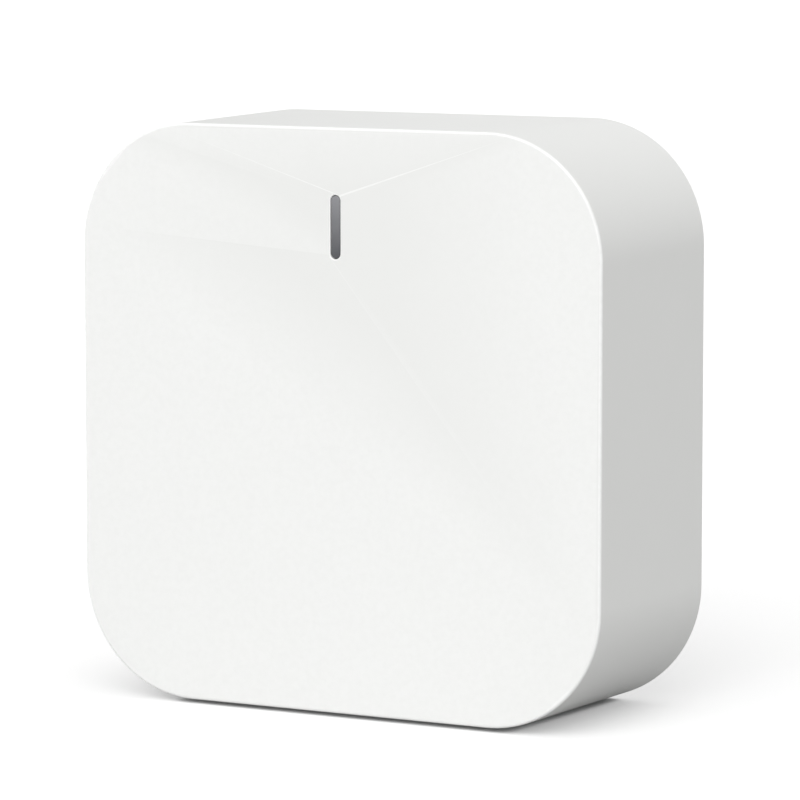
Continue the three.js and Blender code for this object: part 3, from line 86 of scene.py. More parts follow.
class HubCaseSizes(bpy.types.PropertyGroup):
    """Sizes of the moulded case and its cover that the model's boxes don't give."""

    taper: length("Taper", "How much narrower each side is at the front than at the back", 0.501)
    corner_radius: length("Corner radius", "Radius of the case's four big corners", 20.2)
    front_round: length("Front edge", "Rounding between the front face and the sides", 0.42)
    back_round: length("Back edge", "Rounding of the case's back edge", 0.6)
    # The edge margin limits how far the painted edge highlight spreads on the case.
    edge_highlight_margin: length("Edge margin", "How far the painted edge highlight reaches past a rounded edge", 0.1)
    front_wall: length("Front wall", "Thickness of the front wall", 2.4)
    side_wall: length("Side wall", "Thickness of the side walls", 2.0)
    rim_wall: length("Rim wall", "What the cover's rebate leaves of the side wall", 1.2)
    slot_width: length("Slot width", "Width of the status light's slot", 1.85)
    slot_length: length("Slot length", "Length of the status light's slot", 10.3)
    slot_round: length("Slot edge", "Rounding round the status light's slot", 0.14)
    lens_gap: length("Lens gap", "Gap between the slot and the lens", 0.11)
    hole_round: length("Hole edges", "Rounding round the holes in the rear cover", 0.25)
    vent_width: length("Vent width", "Width of each vent slot", 1.8)
    vent_pitch: length("Vent pitch", "Distance between vent slots", 4.0)
    vent_count: IntProperty(name="Vents", description="Vent slots in each row", default=11, min=1)
    corner_steps: IntProperty(name="Corner steps", description="Faces along each big corner", default=32, min=4)


class HubColours(bpy.types.PropertyGroup):
    """Colours of the hub's own finishes."""

    case: colour("Case", "White plastic of the case, the cover and the button", 0.80, 0.805, 0.79)
    # Case edges: a painted highlight, a lighter colour laid along the case's rounded edges and the rims of its
    # openings.
    case_edge_highlight: colour("Case edges", "The same plastic with a painted highlight along its edges", 0.9, 0.905, 0.895)
    # The two lens colours are the smoked tint with painted light at the top of the window and painted shade at
    # its bottom.
    lens_top_lit: colour("Lens top", "Smoked plastic at the top of the light window", 0.265, 0.267, 0.281)
    lens_bottom_shaded: colour("Lens bottom", "Smoked plastic at the bottom of the light window", 0.077, 0.079, 0.088)
    rubber: colour("Feet", "Rubber of the feet", 0.17, 0.17, 0.17)
    label: colour("Label", "Blank label film", 0.66, 0.67, 0.66)
    board: colour("Board", "Solder mask of the main board", 0.012, 0.075, 0.035)
    module: colour("Modules", "Solder mask of the radio modules", 0.01, 0.03, 0.11)


class HubStudio(bpy.types.PropertyGroup):
    """Light, floor and camera of the studio."""

    sky: FloatProperty(name="Sky", description="Strength of the even white light", default=0.472, min=0.0)
    key: FloatProperty(name="Key", description="Light of the key lamp, high in front", default=0.33, min=0.0)
    low: FloatProperty(name="Low front", description="Light of the low lamp in front", default=0.319, min=0.0)
    left: FloatProperty(name="Left", description="Light of the lamp on the left", default=0.159, min=0.0)
    right: FloatProperty(name="Right", description="Light of the lamp on the right", default=0.189, min=0.0)
    rear: FloatProperty(name="Rear", description="Light of the low lamp behind", default=0.133, min=0.0)
    floor: colour("Floor", "Pale floor as the camera sees it", 0.8, 0.8, 0.8)
    floor_bounce: colour("Floor bounce", "The floor as it lights the hub from below", 0.5, 0.5, 0.5)
    floor_glow: FloatProperty(name="Floor glow", description="Extra white in the floor as seen", default=0.286)
    camera_place: FloatVectorProperty(
        name="Camera", description="Where the camera stands", default=(0.3677, -0.6769, 0.1389), subtype="XYZ",
        unit="LENGTH",
    )
    camera_aim: FloatVectorProperty(
        name="Aim", description="Direction in which the camera looks", default=(-0.47246, 0.87385, -0.11476),
        subtype="DIRECTION",
    )
    lens: FloatProperty(name="Lens", description="Focal length in millimetres", default=212.36, min=1.0)


# ---------------------------------------------------------------- Modelling by operators


@contextmanager
def edit_mode(piece):
    """Opens one piece in edit mode with nothing selected, and returns to object mode afterwards."""
    bpy.ops.object.select_all(action="DESELECT")
    piece.select_set(True)
    bpy.context.view_layer.objects.active = piece
    bpy.ops.object.mode_set(mode="EDIT")
    bpy.ops.mesh.select_all(action="DESELECT")
    yield
    bpy.ops.object.mode_set(mode="OBJECT")


def select(piece, element, test):
    """Selects the faces or edges of a piece in edit mode that pass a test."""
    bpy.ops.mesh.select_mode(type=element)
    bpy.ops.mesh.select_all(action="DESELECT")
    mesh = bmesh.from_edit_mesh(piece.data)
    for item in mesh.faces if element == "FACE" else mesh.edges:
        if test(item):
            item.select_set(True)
    bmesh.update_edit_mesh(piece.data)


def runs_along(axis):
    """A test for edges that run along an axis, more or less."""
    def test(edge):
        step = edge.verts[1].co - edge.verts[0].co
        return abs(step[axis]) > 0.99 * step.length
    return test


def faces(axis, sign):
    """A test for faces that look along an axis."""
    return lambda face: face.normal[axis] * sign > 0.99


def edges_at(axis, place):
    """A test for edges that lie in a plane across an axis."""
    return lambda edge: all(abs(v.co[axis] - place) < 10 * MERGE for v in edge.verts)


def at_place(place):
    """A test for faces that begin at a place along Y."""
    return lambda face: abs(face.verts[0].co.y - place) < MERGE


def both(first, second):
    return lambda item: first(item) and second(item)


def bevel(offset, segments):
    bpy.ops.mesh.bevel(offset=offset, segments=segments, profile=0.5, affect="EDGES", clamp_overlap=False)


def extrude(step):
    bpy.ops.mesh.extrude_region_move(TRANSFORM_OT_translate={"value": step})


def resize(factors, centre):
    bpy.ops.transform.resize(value=factors, center_override=centre)


def settle(name):
    """Names the new primitive and applies its place, so that its object stays at the origin."""
    piece = bpy.context.object
    piece.name = name
    piece.data.name = name
    bpy.ops.object.transform_apply(location=True, rotation=True, scale=True)
    return piece


def prism(name, low, high, radius=0.0, axis=ALONG_Y, segments=10):
    """A box with the four edges along one axis rounded."""
    low, high = Vector(low), Vector(high)
    bpy.ops.object.select_all(action="DESELECT")
    bpy.ops.mesh.primitive_cube_add(size=1, location=(low + high) / 2, scale=high - low)
    piece = settle(name)
    if radius > 0:
        with edit_mode(piece):
            select(piece, "EDGE", runs_along(axis))
            bevel(radius, segments)
            bpy.ops.mesh.select_all(action="SELECT")
            bpy.ops.mesh.remove_doubles(threshold=MERGE)
    return piece


def rod(name, radius, start, end, x, z, vertices=40):
    """A round bar along Y."""
    bpy.ops.object.select_all(action="DESELECT")
    bpy.ops.mesh.primitive_cylinder_add(
        vertices=vertices, radius=radius, depth=abs(end - start), location=(x, (start + end) / 2, z),
        rotation=(math.pi / 2, 0, 0),
    )
    return settle(name)


def pillar(name, radius, bottom, top, x, y, vertices=40):
    """A round bar along Z."""
    bpy.ops.object.select_all(action="DESELECT")
    bpy.ops.mesh.primitive_cylinder_add(
        vertices=vertices, radius=radius, depth=top - bottom, location=(x, y, (bottom + top) / 2)
    )
    return settle(name)


def flare(piece, direction, face, rounding, steps=4, margin=0.0):
    """Widens a cutter along Y in a quarter round towards a face, then runs it past the face.

    The margin is a ring of face round the opening that lies a few microns lower, which limits how far the
    painted edge highlight spreads.
    """
    low, high = mesh_box(piece)
    centre = (low + high) / 2
    size = high - low
    if margin:
        face -= direction * 2 * MERGE
    with edit_mode(piece):
        select(piece, "FACE", faces(ALONG_Y, direction))
        end = high.y if direction > 0 else low.y
        bpy.ops.transform.translate(value=(0, face - direction * rounding - end, 0))
        width = 0.0
        for step in range(1, steps + 1):
            angle = math.radians(90 * step / steps)
            before = math.radians(90 * (step - 1) / steps)
            extrude((0, direction * rounding * (math.sin(angle) - math.sin(before)), 0))
            wider = rounding * (1 - math.cos(angle))
            resize(
                ((size.x + 2 * wider) / (size.x + 2 * width), 1, (size.z + 2 * wider) / (size.z + 2 * width)),
                centre,
            )
            width = wider
        if margin:
            extrude((0, direction * 2 * MERGE, 0))
            resize(
                ((size.x + 2 * (width + margin)) / (size.x + 2 * width), 1,
                 (size.z + 2 * (width + margin)) / (size.z + 2 * width)),
                centre,
            )
        extrude((0, direction * OVERCUT, 0))
    return piece


def mesh_box(piece):
    """The lowest and highest corners of a piece's mesh."""
    points = [vertex.co for vertex in piece.data.vertices]
    return (
        Vector([min(p[axis] for p in points) for axis in range(3)]),
        Vector([max(p[axis] for p in points) for axis in range(3)]),
    )


def apply_modifier(piece, kind, **settings):
    modifier = piece.modifiers.new(kind.title(), kind)
    for key, value in settings.items():
        setattr(modifier, key, value)
    bpy.ops.object.select_all(action="DESELECT")
    piece.select_set(True)
    bpy.context.view_layer.objects.active = piece
    bpy.ops.object.modifier_apply(modifier=modifier.name)


def merged(pieces):
    """Joins pieces that don't touch into one object."""
    bpy.ops.object.select_all(action="DESELECT")
    for piece in pieces:
        piece.select_set(True)
    bpy.context.view_layer.objects.active = pieces[0]
    bpy.ops.object.join()
    return pieces[0]


def weld(piece):
    """Closes the hairline gaps that a boolean can leave. An open solid would spoil the next one."""
    with edit_mode(piece):
        bpy.ops.mesh.select_all(action="SELECT")
        bpy.ops.mesh.remove_doubles(threshold=MERGE)
        bpy.ops.mesh.delete_loose()
    faces_at = Counter(key for face in piece.data.polygons for key in face.edge_keys)
    if not faces_at or any(count != 2 for count in faces_at.values()):
        raise RuntimeError(piece.name + " isn't a closed solid")


def combine(piece, others, operation):
    """Adds other solids to a piece, or cuts them out of it, and deletes them."""
    for other in others:
        apply_modifier(piece, "BOOLEAN", operation=operation, solver="EXACT", object=other)
        bpy.data.objects.remove(other)
        weld(piece)
    return piece


def cut(piece, *cutters):
    return combine(piece, cutters, "DIFFERENCE")


def add(piece, *others):
    return combine(piece, others, "UNION")


def finish(piece, material, body="housing", replaces=(), weighted=True):
    """Smooths a finished piece, gives it its material and fastens it to its body."""
    weld(piece)
    bpy.ops.object.select_all(action="DESELECT")
    piece.select_set(True)
    bpy.context.view_layer.objects.active = piece
    bpy.ops.object.shade_smooth_by_angle(angle=SMOOTH_ANGLE)
    if weighted:
        apply_modifier(piece, "WEIGHTED_NORMAL", keep_sharp=True, weight=50, mode="FACE_AREA")
    piece.data.materials.clear()
    piece.data.materials.append(material)
    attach(piece, body)
    if replaces:
        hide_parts(*replaces)
    return piece


def place_of(node):
    """The middle of a model node's box."""
    low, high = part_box(node)
    return (low + high) / 2


# ---------------------------------------------------------------- Shader node groups


class Nodes:
    """Adds nodes to a node tree and links them by name."""

    def __init__(self, tree):
        self.tree = tree

    def add(self, kind, inputs=None, **settings):
        node = self.tree.nodes.new(kind)
        for key, value in settings.items():
            setattr(node, key, value)
        for key, value in (inputs or {}).items():
            if isinstance(value, bpy.types.NodeSocket):
                self.tree.links.new(value, node.inputs[key])
            else:
                node.inputs[key].default_value = value
        return node

    def ramp(self, factor, stops):
        """A colour ramp from (position, grey or colour) stops."""
        node = self.add("ShaderNodeValToRGB", {"Fac": factor})
        elements = node.color_ramp.elements
        while len(elements) > 1:
            elements.remove(elements[-1])
        for index, (position, value) in enumerate(stops):
            element = elements[0] if index == 0 else elements.new(position)
            element.position = position
            rgb = (value,) * 3 if isinstance(value, (int, float)) else tuple(value)
            element.color = (*rgb, 1.0)
        return node.outputs["Color"]

    def math(self, operation, first, second=0.0, clamp=False):
        node = self.add("ShaderNodeMath", {0: first, 1: second}, operation=operation, use_clamp=clamp)
        return node.outputs[0]

    def mix(self, factor, first, second, blend_type="MIX"):
        node = self.add("ShaderNodeMix", data_type="RGBA", blend_type=blend_type)
        for index, value in ((0, factor), (6, first), (7, second)):
            if isinstance(value, bpy.types.NodeSocket):
                self.tree.links.new(value, node.inputs[index])
            elif index == 0:
                node.inputs[index].default_value = value
            else:
                node.inputs[index].default_value = (*tuple(value)[:3], 1.0)
        return node.outputs[2]

    def noise(self, vector, scale, detail=3.0, roughness=0.55):
        node = self.add(
            "ShaderNodeTexNoise", {"Vector": vector, "Scale": scale, "Detail": detail, "Roughness": roughness}
        )
        return node.outputs["Fac"]


def new_group(name, inputs, outputs):
    """An empty shader node group with named sockets, with its node adder and its input and output nodes."""
    tree = bpy.data.node_groups.new(name, "ShaderNodeTree")
    for socket_name, kind, value in inputs:
        socket = tree.interface.new_socket(socket_name, in_out="INPUT", socket_type=kind)
        if value is not None:
            socket.default_value = value
    for socket_name, kind in outputs:
        tree.interface.new_socket(socket_name, in_out="OUTPUT", socket_type=kind)
    nodes = Nodes(tree)
    return tree, nodes, nodes.add("NodeGroupInput"), nodes.add("NodeGroupOutput")


def surface_grain_group():
    """Fine grain of a moulded or stamped surface: a height, a roughness and a slow mottle from 0 to 1."""
    tree, nodes, given, result = new_group(
        "Surface grain",
        [
            ("Vector", "NodeSocketVector", None),
            ("Grain per metre", "NodeSocketFloat", 5000.0),
            ("Roughness", "NodeSocketFloat", 0.45),
            ("Roughness spread", "NodeSocketFloat", 0.08),
        ],
        [("Height", "NodeSocketFloat"), ("Roughness", "NodeSocketFloat"), ("Mottle", "NodeSocketFloat")],
    )
    vector = given.outputs["Vector"]
    fine = nodes.noise(vector, given.outputs["Grain per metre"], 2.0, 0.6)
    coarse = nodes.noise(vector, nodes.math("MULTIPLY", given.outputs["Grain per metre"], 0.35), 2.0, 0.5)
    mottle = nodes.noise(vector, 60.0, 4.0, 0.55)
    height = nodes.math("ADD", nodes.math("MULTIPLY", fine, 0.6), nodes.math("MULTIPLY", coarse, 0.4))
    swing = nodes.math("SUBTRACT", nodes.math("ADD", mottle, fine), 1.0)
    rough = nodes.math("MULTIPLY_ADD", swing, given.outputs["Roughness spread"])
    nodes.tree.links.new(given.outputs["Roughness"], rough.node.inputs[2])
    nodes.tree.links.new(height, result.inputs["Height"])
    nodes.tree.links.new(rough, result.inputs["Roughness"])
    nodes.tree.links.new(mottle, result.inputs["Mottle"])
    return tree


def edge_wear_and_highlight_group():
    """A mask that is 1 along outer edges, broken into patches, and 0 elsewhere: rubbed wear on most finishes, a
    painted highlight on the case plastic.
    """
    tree, nodes, given, result = new_group(
        "Edge wear and highlight",
        [
            ("Vector", "NodeSocketVector", None),
            ("Reach", "NodeSocketFloat", 0.06),
            ("Breaks", "NodeSocketFloat", 1.0),
        ],
        [("Mask", "NodeSocketFloat")],
    )
    pointiness = nodes.add("ShaderNodeNewGeometry").outputs["Pointiness"]
    above = nodes.math("SUBTRACT", pointiness, 0.506)
    sharp = nodes.math("DIVIDE", above, given.outputs["Reach"], clamp=True)
    patches = nodes.ramp(nodes.noise(given.outputs["Vector"], 900.0, 4.0, 0.65), [(0.35, 0.0), (0.62, 1.0)])
    gaps = nodes.math("MULTIPLY", nodes.math("SUBTRACT", 1.0, patches), given.outputs["Breaks"])
    mask = nodes.math("MULTIPLY", sharp, nodes.math("SUBTRACT", 1.0, gaps))
    nodes.tree.links.new(mask, result.inputs["Mask"])
    return tree


def brushed_group():
    """Fine lines along one axis of drawn, rolled or brushed metal: a height and a roughness."""
    tree, nodes, given, result = new_group(
        "Brushed lines",
        [
            ("Vector", "NodeSocketVector", None),
            ("Stretch", "NodeSocketVector", (6000.0, 300.0, 6000.0)),
            ("Roughness", "NodeSocketFloat", 0.3),
        ],
        [("Height", "NodeSocketFloat"), ("Roughness", "NodeSocketFloat")],
    )
    stretched = nodes.add(
        "ShaderNodeVectorMath", {0: given.outputs["Vector"], 1: given.outputs["Stretch"]}, operation="MULTIPLY"
    ).outputs[0]
    lines = nodes.noise(stretched, 1.0, 3.0, 0.6)
    swing = nodes.math("MULTIPLY", nodes.math("SUBTRACT", lines, 0.5), 0.25)
    rough = nodes.math("ADD", given.outputs["Roughness"], swing)
    nodes.tree.links.new(lines, result.inputs["Height"])
    nodes.tree.links.new(rough, result.inputs["Roughness"])
    return tree


GROUP_MAKERS = {"grain": surface_grain_group, "wear": edge_wear_and_highlight_group, "brushed": brushed_group}
groups = {}
materials = {}


class Finish:
    """A material with a Principled shader, its own Object coordinates and the shared node groups."""

    def __init__(self, name, **shader_values):
        self.material = bpy.data.materials.new(name)
        self.material.use_nodes = True
        self.nodes = Nodes(self.material.node_tree)
        self.shader = self.material.node_tree.nodes["Principled BSDF"]
        for key, value in shader_values.items():
            self.shader.inputs[key.replace("_", " ")].default_value = value
        self.place = self.nodes.add("ShaderNodeTexCoord").outputs["Object"]

    def group(self, key, **inputs):
        if key not in groups:
            groups[key] = GROUP_MAKERS[key]()
        node = self.nodes.add("ShaderNodeGroup")
        node.node_tree = groups[key]
        self.link(self.place, node.inputs["Vector"])
        for name, value in inputs.items():
            node.inputs[name.replace("_", " ")].default_value = value
        return node

    def link(self, source, target):
        self.material.node_tree.links.new(source, target)

    def set(self, **sockets):
        for key, source in sockets.items():
            self.link(source, self.shader.inputs[key.replace("_", " ")])

    def bump(self, height, distance, strength=1.0):
        node = self.nodes.add("ShaderNodeBump", {"Height": height, "Distance": distance, "Strength": strength})
        self.link(node.outputs["Normal"], self.shader.inputs["Normal"])


def tinted(base, factor):
    return tuple(min(1.0, channel * factor) for channel in base)


def plastic(name, base, edge, roughness, spread, grain, depth, reach=0.06, breaks=1.0):
    """Moulded plastic: spark-eroded grain, a faint mottle and an edge colour over an edge mask, which is a
    painted highlight on the case plastic and rubbed wear on the others.
    """
    finish_ = Finish(name)
    grain_node = finish_.group("grain", Grain_per_metre=grain, Roughness=roughness, Roughness_spread=spread)
    mottled = finish_.nodes.mix(grain_node.outputs["Mottle"], tinted(base, 0.99), tinted(base, 1.01))
    # Edge mask: on the case plastic it carries a painted highlight, on the other plastics rubbed wear.
    wear = finish_.group("wear", Reach=reach, Breaks=breaks).outputs["Mask"]
    finish_.set(Base_Color=finish_.nodes.mix(wear, mottled, edge))
    smoother = finish_.nodes.math("MULTIPLY", wear, -0.08)
    finish_.set(Roughness=finish_.nodes.math("ADD", grain_node.outputs["Roughness"], smoother))
    finish_.bump(grain_node.outputs["Height"], depth)
    return finish_.material


def case_plastic():
    colours = bpy.context.scene.hub_colours
    # The case's lighter edge colour over this narrow mask is a painted highlight along its rounded edges.
    return plastic(
        "Case plastic", colours.case, colours.case_edge_highlight, 0.46, 0.05, 7000.0, 0.006 * MM, reach=0.008, breaks=0.3
    )


def black_plastic():
    return plastic("Black plastic", (0.012, 0.012, 0.013), (0.017, 0.017, 0.018), 0.48, 0.08, 5000.0, 0.01 * MM)


def foot_rubber():
    base = bpy.context.scene.hub_colours.rubber
    return plastic("Foot rubber", base, tinted(base, 0.85), 0.78, 0.1, 3500.0, 0.02 * MM)


def smoked_lens():
    """Smoked plastic painted lighter towards the top of the window, where more light reaches its guide, and
    darker towards the bottom: painted light and shade over the smoked tint.
    """
    colours = bpy.context.scene.hub_colours
    sizes = bpy.context.scene.hub_case
    finish_ = Finish("Smoked lens", Coat_Weight=0.35, Coat_Roughness=0.08)
    middle = place_of("indicator_lens").z
    height = finish_.nodes.add("ShaderNodeSeparateXYZ", {0: finish_.place}).outputs["Z"]
    above = finish_.nodes.math("SUBTRACT", height, middle - sizes.slot_length / 2)
    rise = finish_.nodes.math("DIVIDE", above, sizes.slot_length, clamp=True)
    grain_node = finish_.group("grain", Grain_per_metre=3000.0, Roughness=0.22, Roughness_spread=0.05)
    swirl = finish_.nodes.math("MULTIPLY_ADD", finish_.nodes.noise(finish_.place, 700.0), 0.12)
    finish_.link(finish_.nodes.math("SUBTRACT", rise, 0.06), swirl.node.inputs[2])
    finish_.set(
        Base_Color=finish_.nodes.mix(swirl, colours.lens_bottom_shaded, colours.lens_top_lit),
        Roughness=grain_node.outputs["Roughness"],
    )
    finish_.bump(grain_node.outputs["Height"], 0.002 * MM)
    return finish_.material


def label_film():
    base = bpy.context.scene.hub_colours.label
    return plastic("Label film", base, tinted(base, 1.05), 0.4, 0.06, 2500.0, 0.004 * MM)


def sheet_metal(name, base, roughness, stretch=(6000.0, 300.0, 6000.0), tarnish=0.75):
    """Plated or rolled metal: fine lines, a slow tarnish and brighter edges."""
    finish_ = Finish(name, Metallic=1.0)
    lines = finish_.group("brushed", Stretch=stretch, Roughness=roughness)
    cloud = finish_.nodes.noise(finish_.place, 350.0, 5.0, 0.6)
    aged = finish_.nodes.mix(finish_.nodes.ramp(cloud, [(0.35, 0.0), (0.75, 1.0)]), base, tinted(base, tarnish))
    wear = finish_.group("wear", Reach=0.08).outputs["Mask"]
    finish_.set(
        Base_Color=finish_.nodes.mix(wear, aged, tinted(base, 1.2)),
        Roughness=lines.outputs["Roughness"],
    )
    finish_.bump(lines.outputs["Height"], 0.003 * MM)
    return finish_.material


def tinned_steel():
    return sheet_metal("Tinned steel", (0.62, 0.62, 0.63), 0.28)


def plated_steel():
    return sheet_metal("Zinc plated steel", (0.58, 0.59, 0.62), 0.36, tarnish=0.85)


def black_steel():
    return sheet_metal("Black oxide steel", (0.035, 0.035, 0.038), 0.38, tarnish=1.5)


def gold_plate():
    return sheet_metal("Gold plate", (0.78, 0.52, 0.2), 0.22)


def aluminium():
    return sheet_metal("Anodised aluminium", (0.64, 0.65, 0.67), 0.34, (5000.0, 5000.0, 250.0), 0.9)


def chip_resin():
    """Matt moulding resin with slightly polished edges."""
    return plastic("Chip resin", (0.02, 0.02, 0.021), (0.027, 0.027, 0.028), 0.62, 0.1, 6000.0, 0.012 * MM)


def ferrite():
    return plastic("Ferrite", (0.05, 0.05, 0.053), (0.07, 0.07, 0.073), 0.7, 0.12, 4000.0, 0.03 * MM)


def led_resin():
    return plastic("Diode resin", (0.78, 0.72, 0.42), (0.8, 0.75, 0.5), 0.3, 0.05, 3000.0, 0.004 * MM)


def thermal_pad():
    return plastic("Thermal pad", (0.2, 0.3, 0.42), (0.22, 0.32, 0.43), 0.85, 0.1, 2500.0, 0.03 * MM)


def coax_sheath():
    return plastic("Coaxial sheath", (0.018, 0.018, 0.02), (0.03, 0.03, 0.032), 0.4, 0.06, 3000.0, 0.006 * MM)


def circuit_board(name, base):
    """Solder mask over copper: raised tracks in a grid of lanes, lighter pours, and tinned dots."""
    finish_ = Finish(name, Coat_Weight=0.25, Coat_Roughness=0.15)
    nodes = finish_.nodes
    lanes = nodes.add(
        "ShaderNodeTexBrick",
        {"Vector": nodes.add("ShaderNodeMapping", {"Vector": finish_.place, "Rotation": (math.pi / 2, 0, 0)}).outputs[0],
         "Scale": 420.0, "Mortar Size": 0.06, "Mortar Smooth": 0.1, "Brick Width": 2.6, "Row Height": 0.32},
        offset=0.37, squash=0.6, squash_frequency=3,
    ).outputs["Fac"]
    zones = nodes.ramp(nodes.noise(finish_.place, 90.0, 1.0), [(0.46, 0.0), (0.48, 1.0)])
    tracks = nodes.math("MULTIPLY", lanes, zones)
    dots = nodes.add("ShaderNodeTexVoronoi", {"Vector": finish_.place, "Scale": 380.0, "Randomness": 0.45})
    vias = nodes.math("LESS_THAN", dots.outputs["Distance"], 0.12)
    pour = nodes.mix(zones, tinted(base, 0.8), tinted(base, 1.35))
    masked = nodes.mix(tracks, pour, tinted(base, 2.1))
    grain_node = finish_.group("grain", Grain_per_metre=2500.0, Roughness=0.38, Roughness_spread=0.08)
    finish_.set(
        Base_Color=nodes.mix(vias, masked, (0.55, 0.5, 0.38)),
        Metallic=nodes.math("MULTIPLY", vias, 0.9),
        Roughness=grain_node.outputs["Roughness"],
    )
    finish_.bump(nodes.math("ADD", tracks, vias), 0.03 * MM)
    return finish_.material


def main_board_mask():
    return circuit_board("Board solder mask", bpy.context.scene.hub_colours.board)


def module_mask():
    return circuit_board("Module solder mask", bpy.context.scene.hub_colours.module)


def finish_called(maker):
    """The material that a maker makes, made once."""
    if maker not in materials:
        materials[maker] = maker()
    return materials[maker]


# ---------------------------------------------------------------- Case


def tapered_block(name, start, end, inset, segments):
    """The case's tapered outline, that far inside it, between two places along Y."""
    sizes = bpy.context.scene.hub_case
    low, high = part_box("front_shell")
    depth = high.y - low.y
    slope = sizes.taper / depth
    centre = (low + high) / 2

    def half(y):
        narrower = (high.y - y) * slope + inset
        return (high.x - low.x) / 2 - narrower, (high.z - low.z) / 2 - narrower

    wide, tall = half(end)
    narrow, short = half(start)
    bpy.ops.object.select_all(action="DESELECT")
    bpy.ops.mesh.primitive_cube_add(
        size=1, location=(centre.x, (start + end) / 2, centre.z), scale=(2 * wide, end - start, 2 * tall)
    )
    piece = settle(name)
    with edit_mode(piece):
        select(piece, "FACE", faces(ALONG_Y, -1))
        resize((narrow / wide, 1, short / tall), (centre.x, start, centre.z))
        select(piece, "EDGE", runs_along(ALONG_Y))
        bevel(sizes.corner_radius - inset, segments)
    return piece


def round_end(piece, place, radius, segments=5):
    """Rounds the edges round the end face of a block at a place along Y."""
    with edit_mode(piece):
        select(piece, "EDGE", edges_at(ALONG_Y, place))
        bevel(radius, segments)


def support_edges(piece, face, direction, places):
    """Rings of edges beside the rounded edges, so that shading and the painted edge highlight stay close to
    them.
    """
    margin = bpy.context.scene.hub_case.edge_highlight_margin
    with edit_mode(piece):
        select(piece, "FACE", both(faces(ALONG_Y, direction), at_place(face)))
        bpy.ops.mesh.inset(thickness=margin)
        for place in places:
            bpy.ops.mesh.select_all(action="SELECT")
            bpy.ops.mesh.bisect(plane_co=(0, place, 0), plane_no=(0, 1, 0))


def shell_fittings(sizes, low, high):
    """Bosses, posts and ribs inside the tub, each overlapping the wall that it grows from."""
    root = low.y + sizes.front_wall / 2
    board_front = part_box("main_board")[0].y
    fittings = []
    for corner in CORNERS:
        screw = place_of("cover_screw_" + corner)
        boss_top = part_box("rear_cover")[0].y + 0.0
        side = CORNERS[corner]
        boss_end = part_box("cover_screw_" + corner)[1].y - 3.25 * MM
        fittings.append(rod("boss", 3.3 * MM, root, boss_end, screw.x, screw.z))
        wall_x = side[0] * (high.x - sizes.side_wall / 2 - sizes.taper)
        rib_top = boss_top - 1 * MM
        half_rib = 0.7 * MM
        fittings.append(
            prism(
                "side_rib",
                (min(screw.x, wall_x), root, screw.z - half_rib),
                (max(screw.x, wall_x), rib_top, screw.z + half_rib),
            )
        )
        post = place_of("board_screw_" + corner)
        fittings.append(rod("post", 2.8 * MM, root, board_front - 0.05 * MM, post.x, post.z))
    return fittings


def ballast_seat(sizes, low):
    """Three ribs under the ballast plate and the two bosses that its screws go into."""
    plate_low, plate_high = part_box("ballast_plate")
    root = low.z + sizes.taper + sizes.side_wall / 2
    half_rib = 0.7 * MM
    seat = 0.05 * MM
    parts = []
    for place in (-1, 0, 1):
        x = place * plate_high.x / 2
        rib_low = (x - half_rib, plate_low.y, root)
        parts.append(prism("ballast_rib", rib_low, (x + half_rib, plate_high.y, plate_low.z - seat)))
    for side in SIDES:
        screw = place_of("ballast_screw_" + side)
        parts.append(pillar("ballast_boss", 2.5 * MM, root, plate_high.z - seat, screw.x, screw.y))
    return parts


def build_front_shell():
    sizes = bpy.context.scene.hub_case
    low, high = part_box("front_shell")
    cover_low, cover_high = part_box("rear_cover")
    cover_inner = cover_high.y - 2.2 * MM
    piece = tapered_block("front_shell_moulding", low.y, high.y, 0.0, sizes.corner_steps)
    round_end(piece, low.y, sizes.front_round, 6)
    round_end(piece, high.y, sizes.back_round)
    front_ring = low.y + sizes.front_round + sizes.edge_highlight_margin
    back_ring = high.y - sizes.back_round - sizes.edge_highlight_margin
    support_edges(piece, low.y, -1, (front_ring, back_ring))
    inner_front = low.y + sizes.front_wall
    hollow = tapered_block("hollow", inner_front, high.y + OVERCUT, sizes.side_wall, sizes.corner_steps)
    round_end(hollow, inner_front, 1.4 * MM, 3)
    rebate = tapered_block("rebate", cover_inner, high.y + OVERCUT, sizes.rim_wall, sizes.corner_steps)
    cut(piece, hollow, rebate)
    add(piece, *shell_fittings(sizes, low, high), *ballast_seat(sizes, low))

    lens = place_of("indicator_lens")
    slot = prism(
        "slot",
        (lens.x - sizes.slot_width / 2, low.y + OVERCUT, lens.z - sizes.slot_length / 2),
        (lens.x + sizes.slot_width / 2, inner_front + OVERCUT, lens.z + sizes.slot_length / 2),
        sizes.slot_width / 2,
        segments=14,
    )
    cut(piece, flare(slot, -1, low.y, sizes.slot_round, margin=sizes.edge_highlight_margin))
    gap = Vector((0.2, 0.2, 0.05)) * MM
    for side in SIDES:
        foot_low, foot_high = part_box("foot_" + side)
        pocket_low = foot_low - gap - Vector((0, 0, OVERCUT))
        cut(piece, prism("pocket", pocket_low, foot_high + gap, 3.2 * MM, UP_Z))
    pilots = []
    for corner in CORNERS:
        for prefix, radius in (("cover_screw_", 1.25 * MM), ("board_screw_", 1.15 * MM)):
            screw_low, screw_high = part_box(prefix + corner)
            place = place_of(prefix + corner)
            pilots.append(rod("pilot", radius, screw_low.y - 1 * MM, screw_high.y, place.x, place.z, 20))
    for side in SIDES:
        screw_low, screw_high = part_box("ballast_screw_" + side)
        place = (screw_low + screw_high) / 2
        pilots.append(pillar("pilot", 1.15 * MM, screw_low.z - 0.1 * MM, screw_high.z, place.x, place.y, 20))
    cut(piece, merged(pilots))
    finish(piece, finish_called(case_plastic), replaces=["front_shell"])


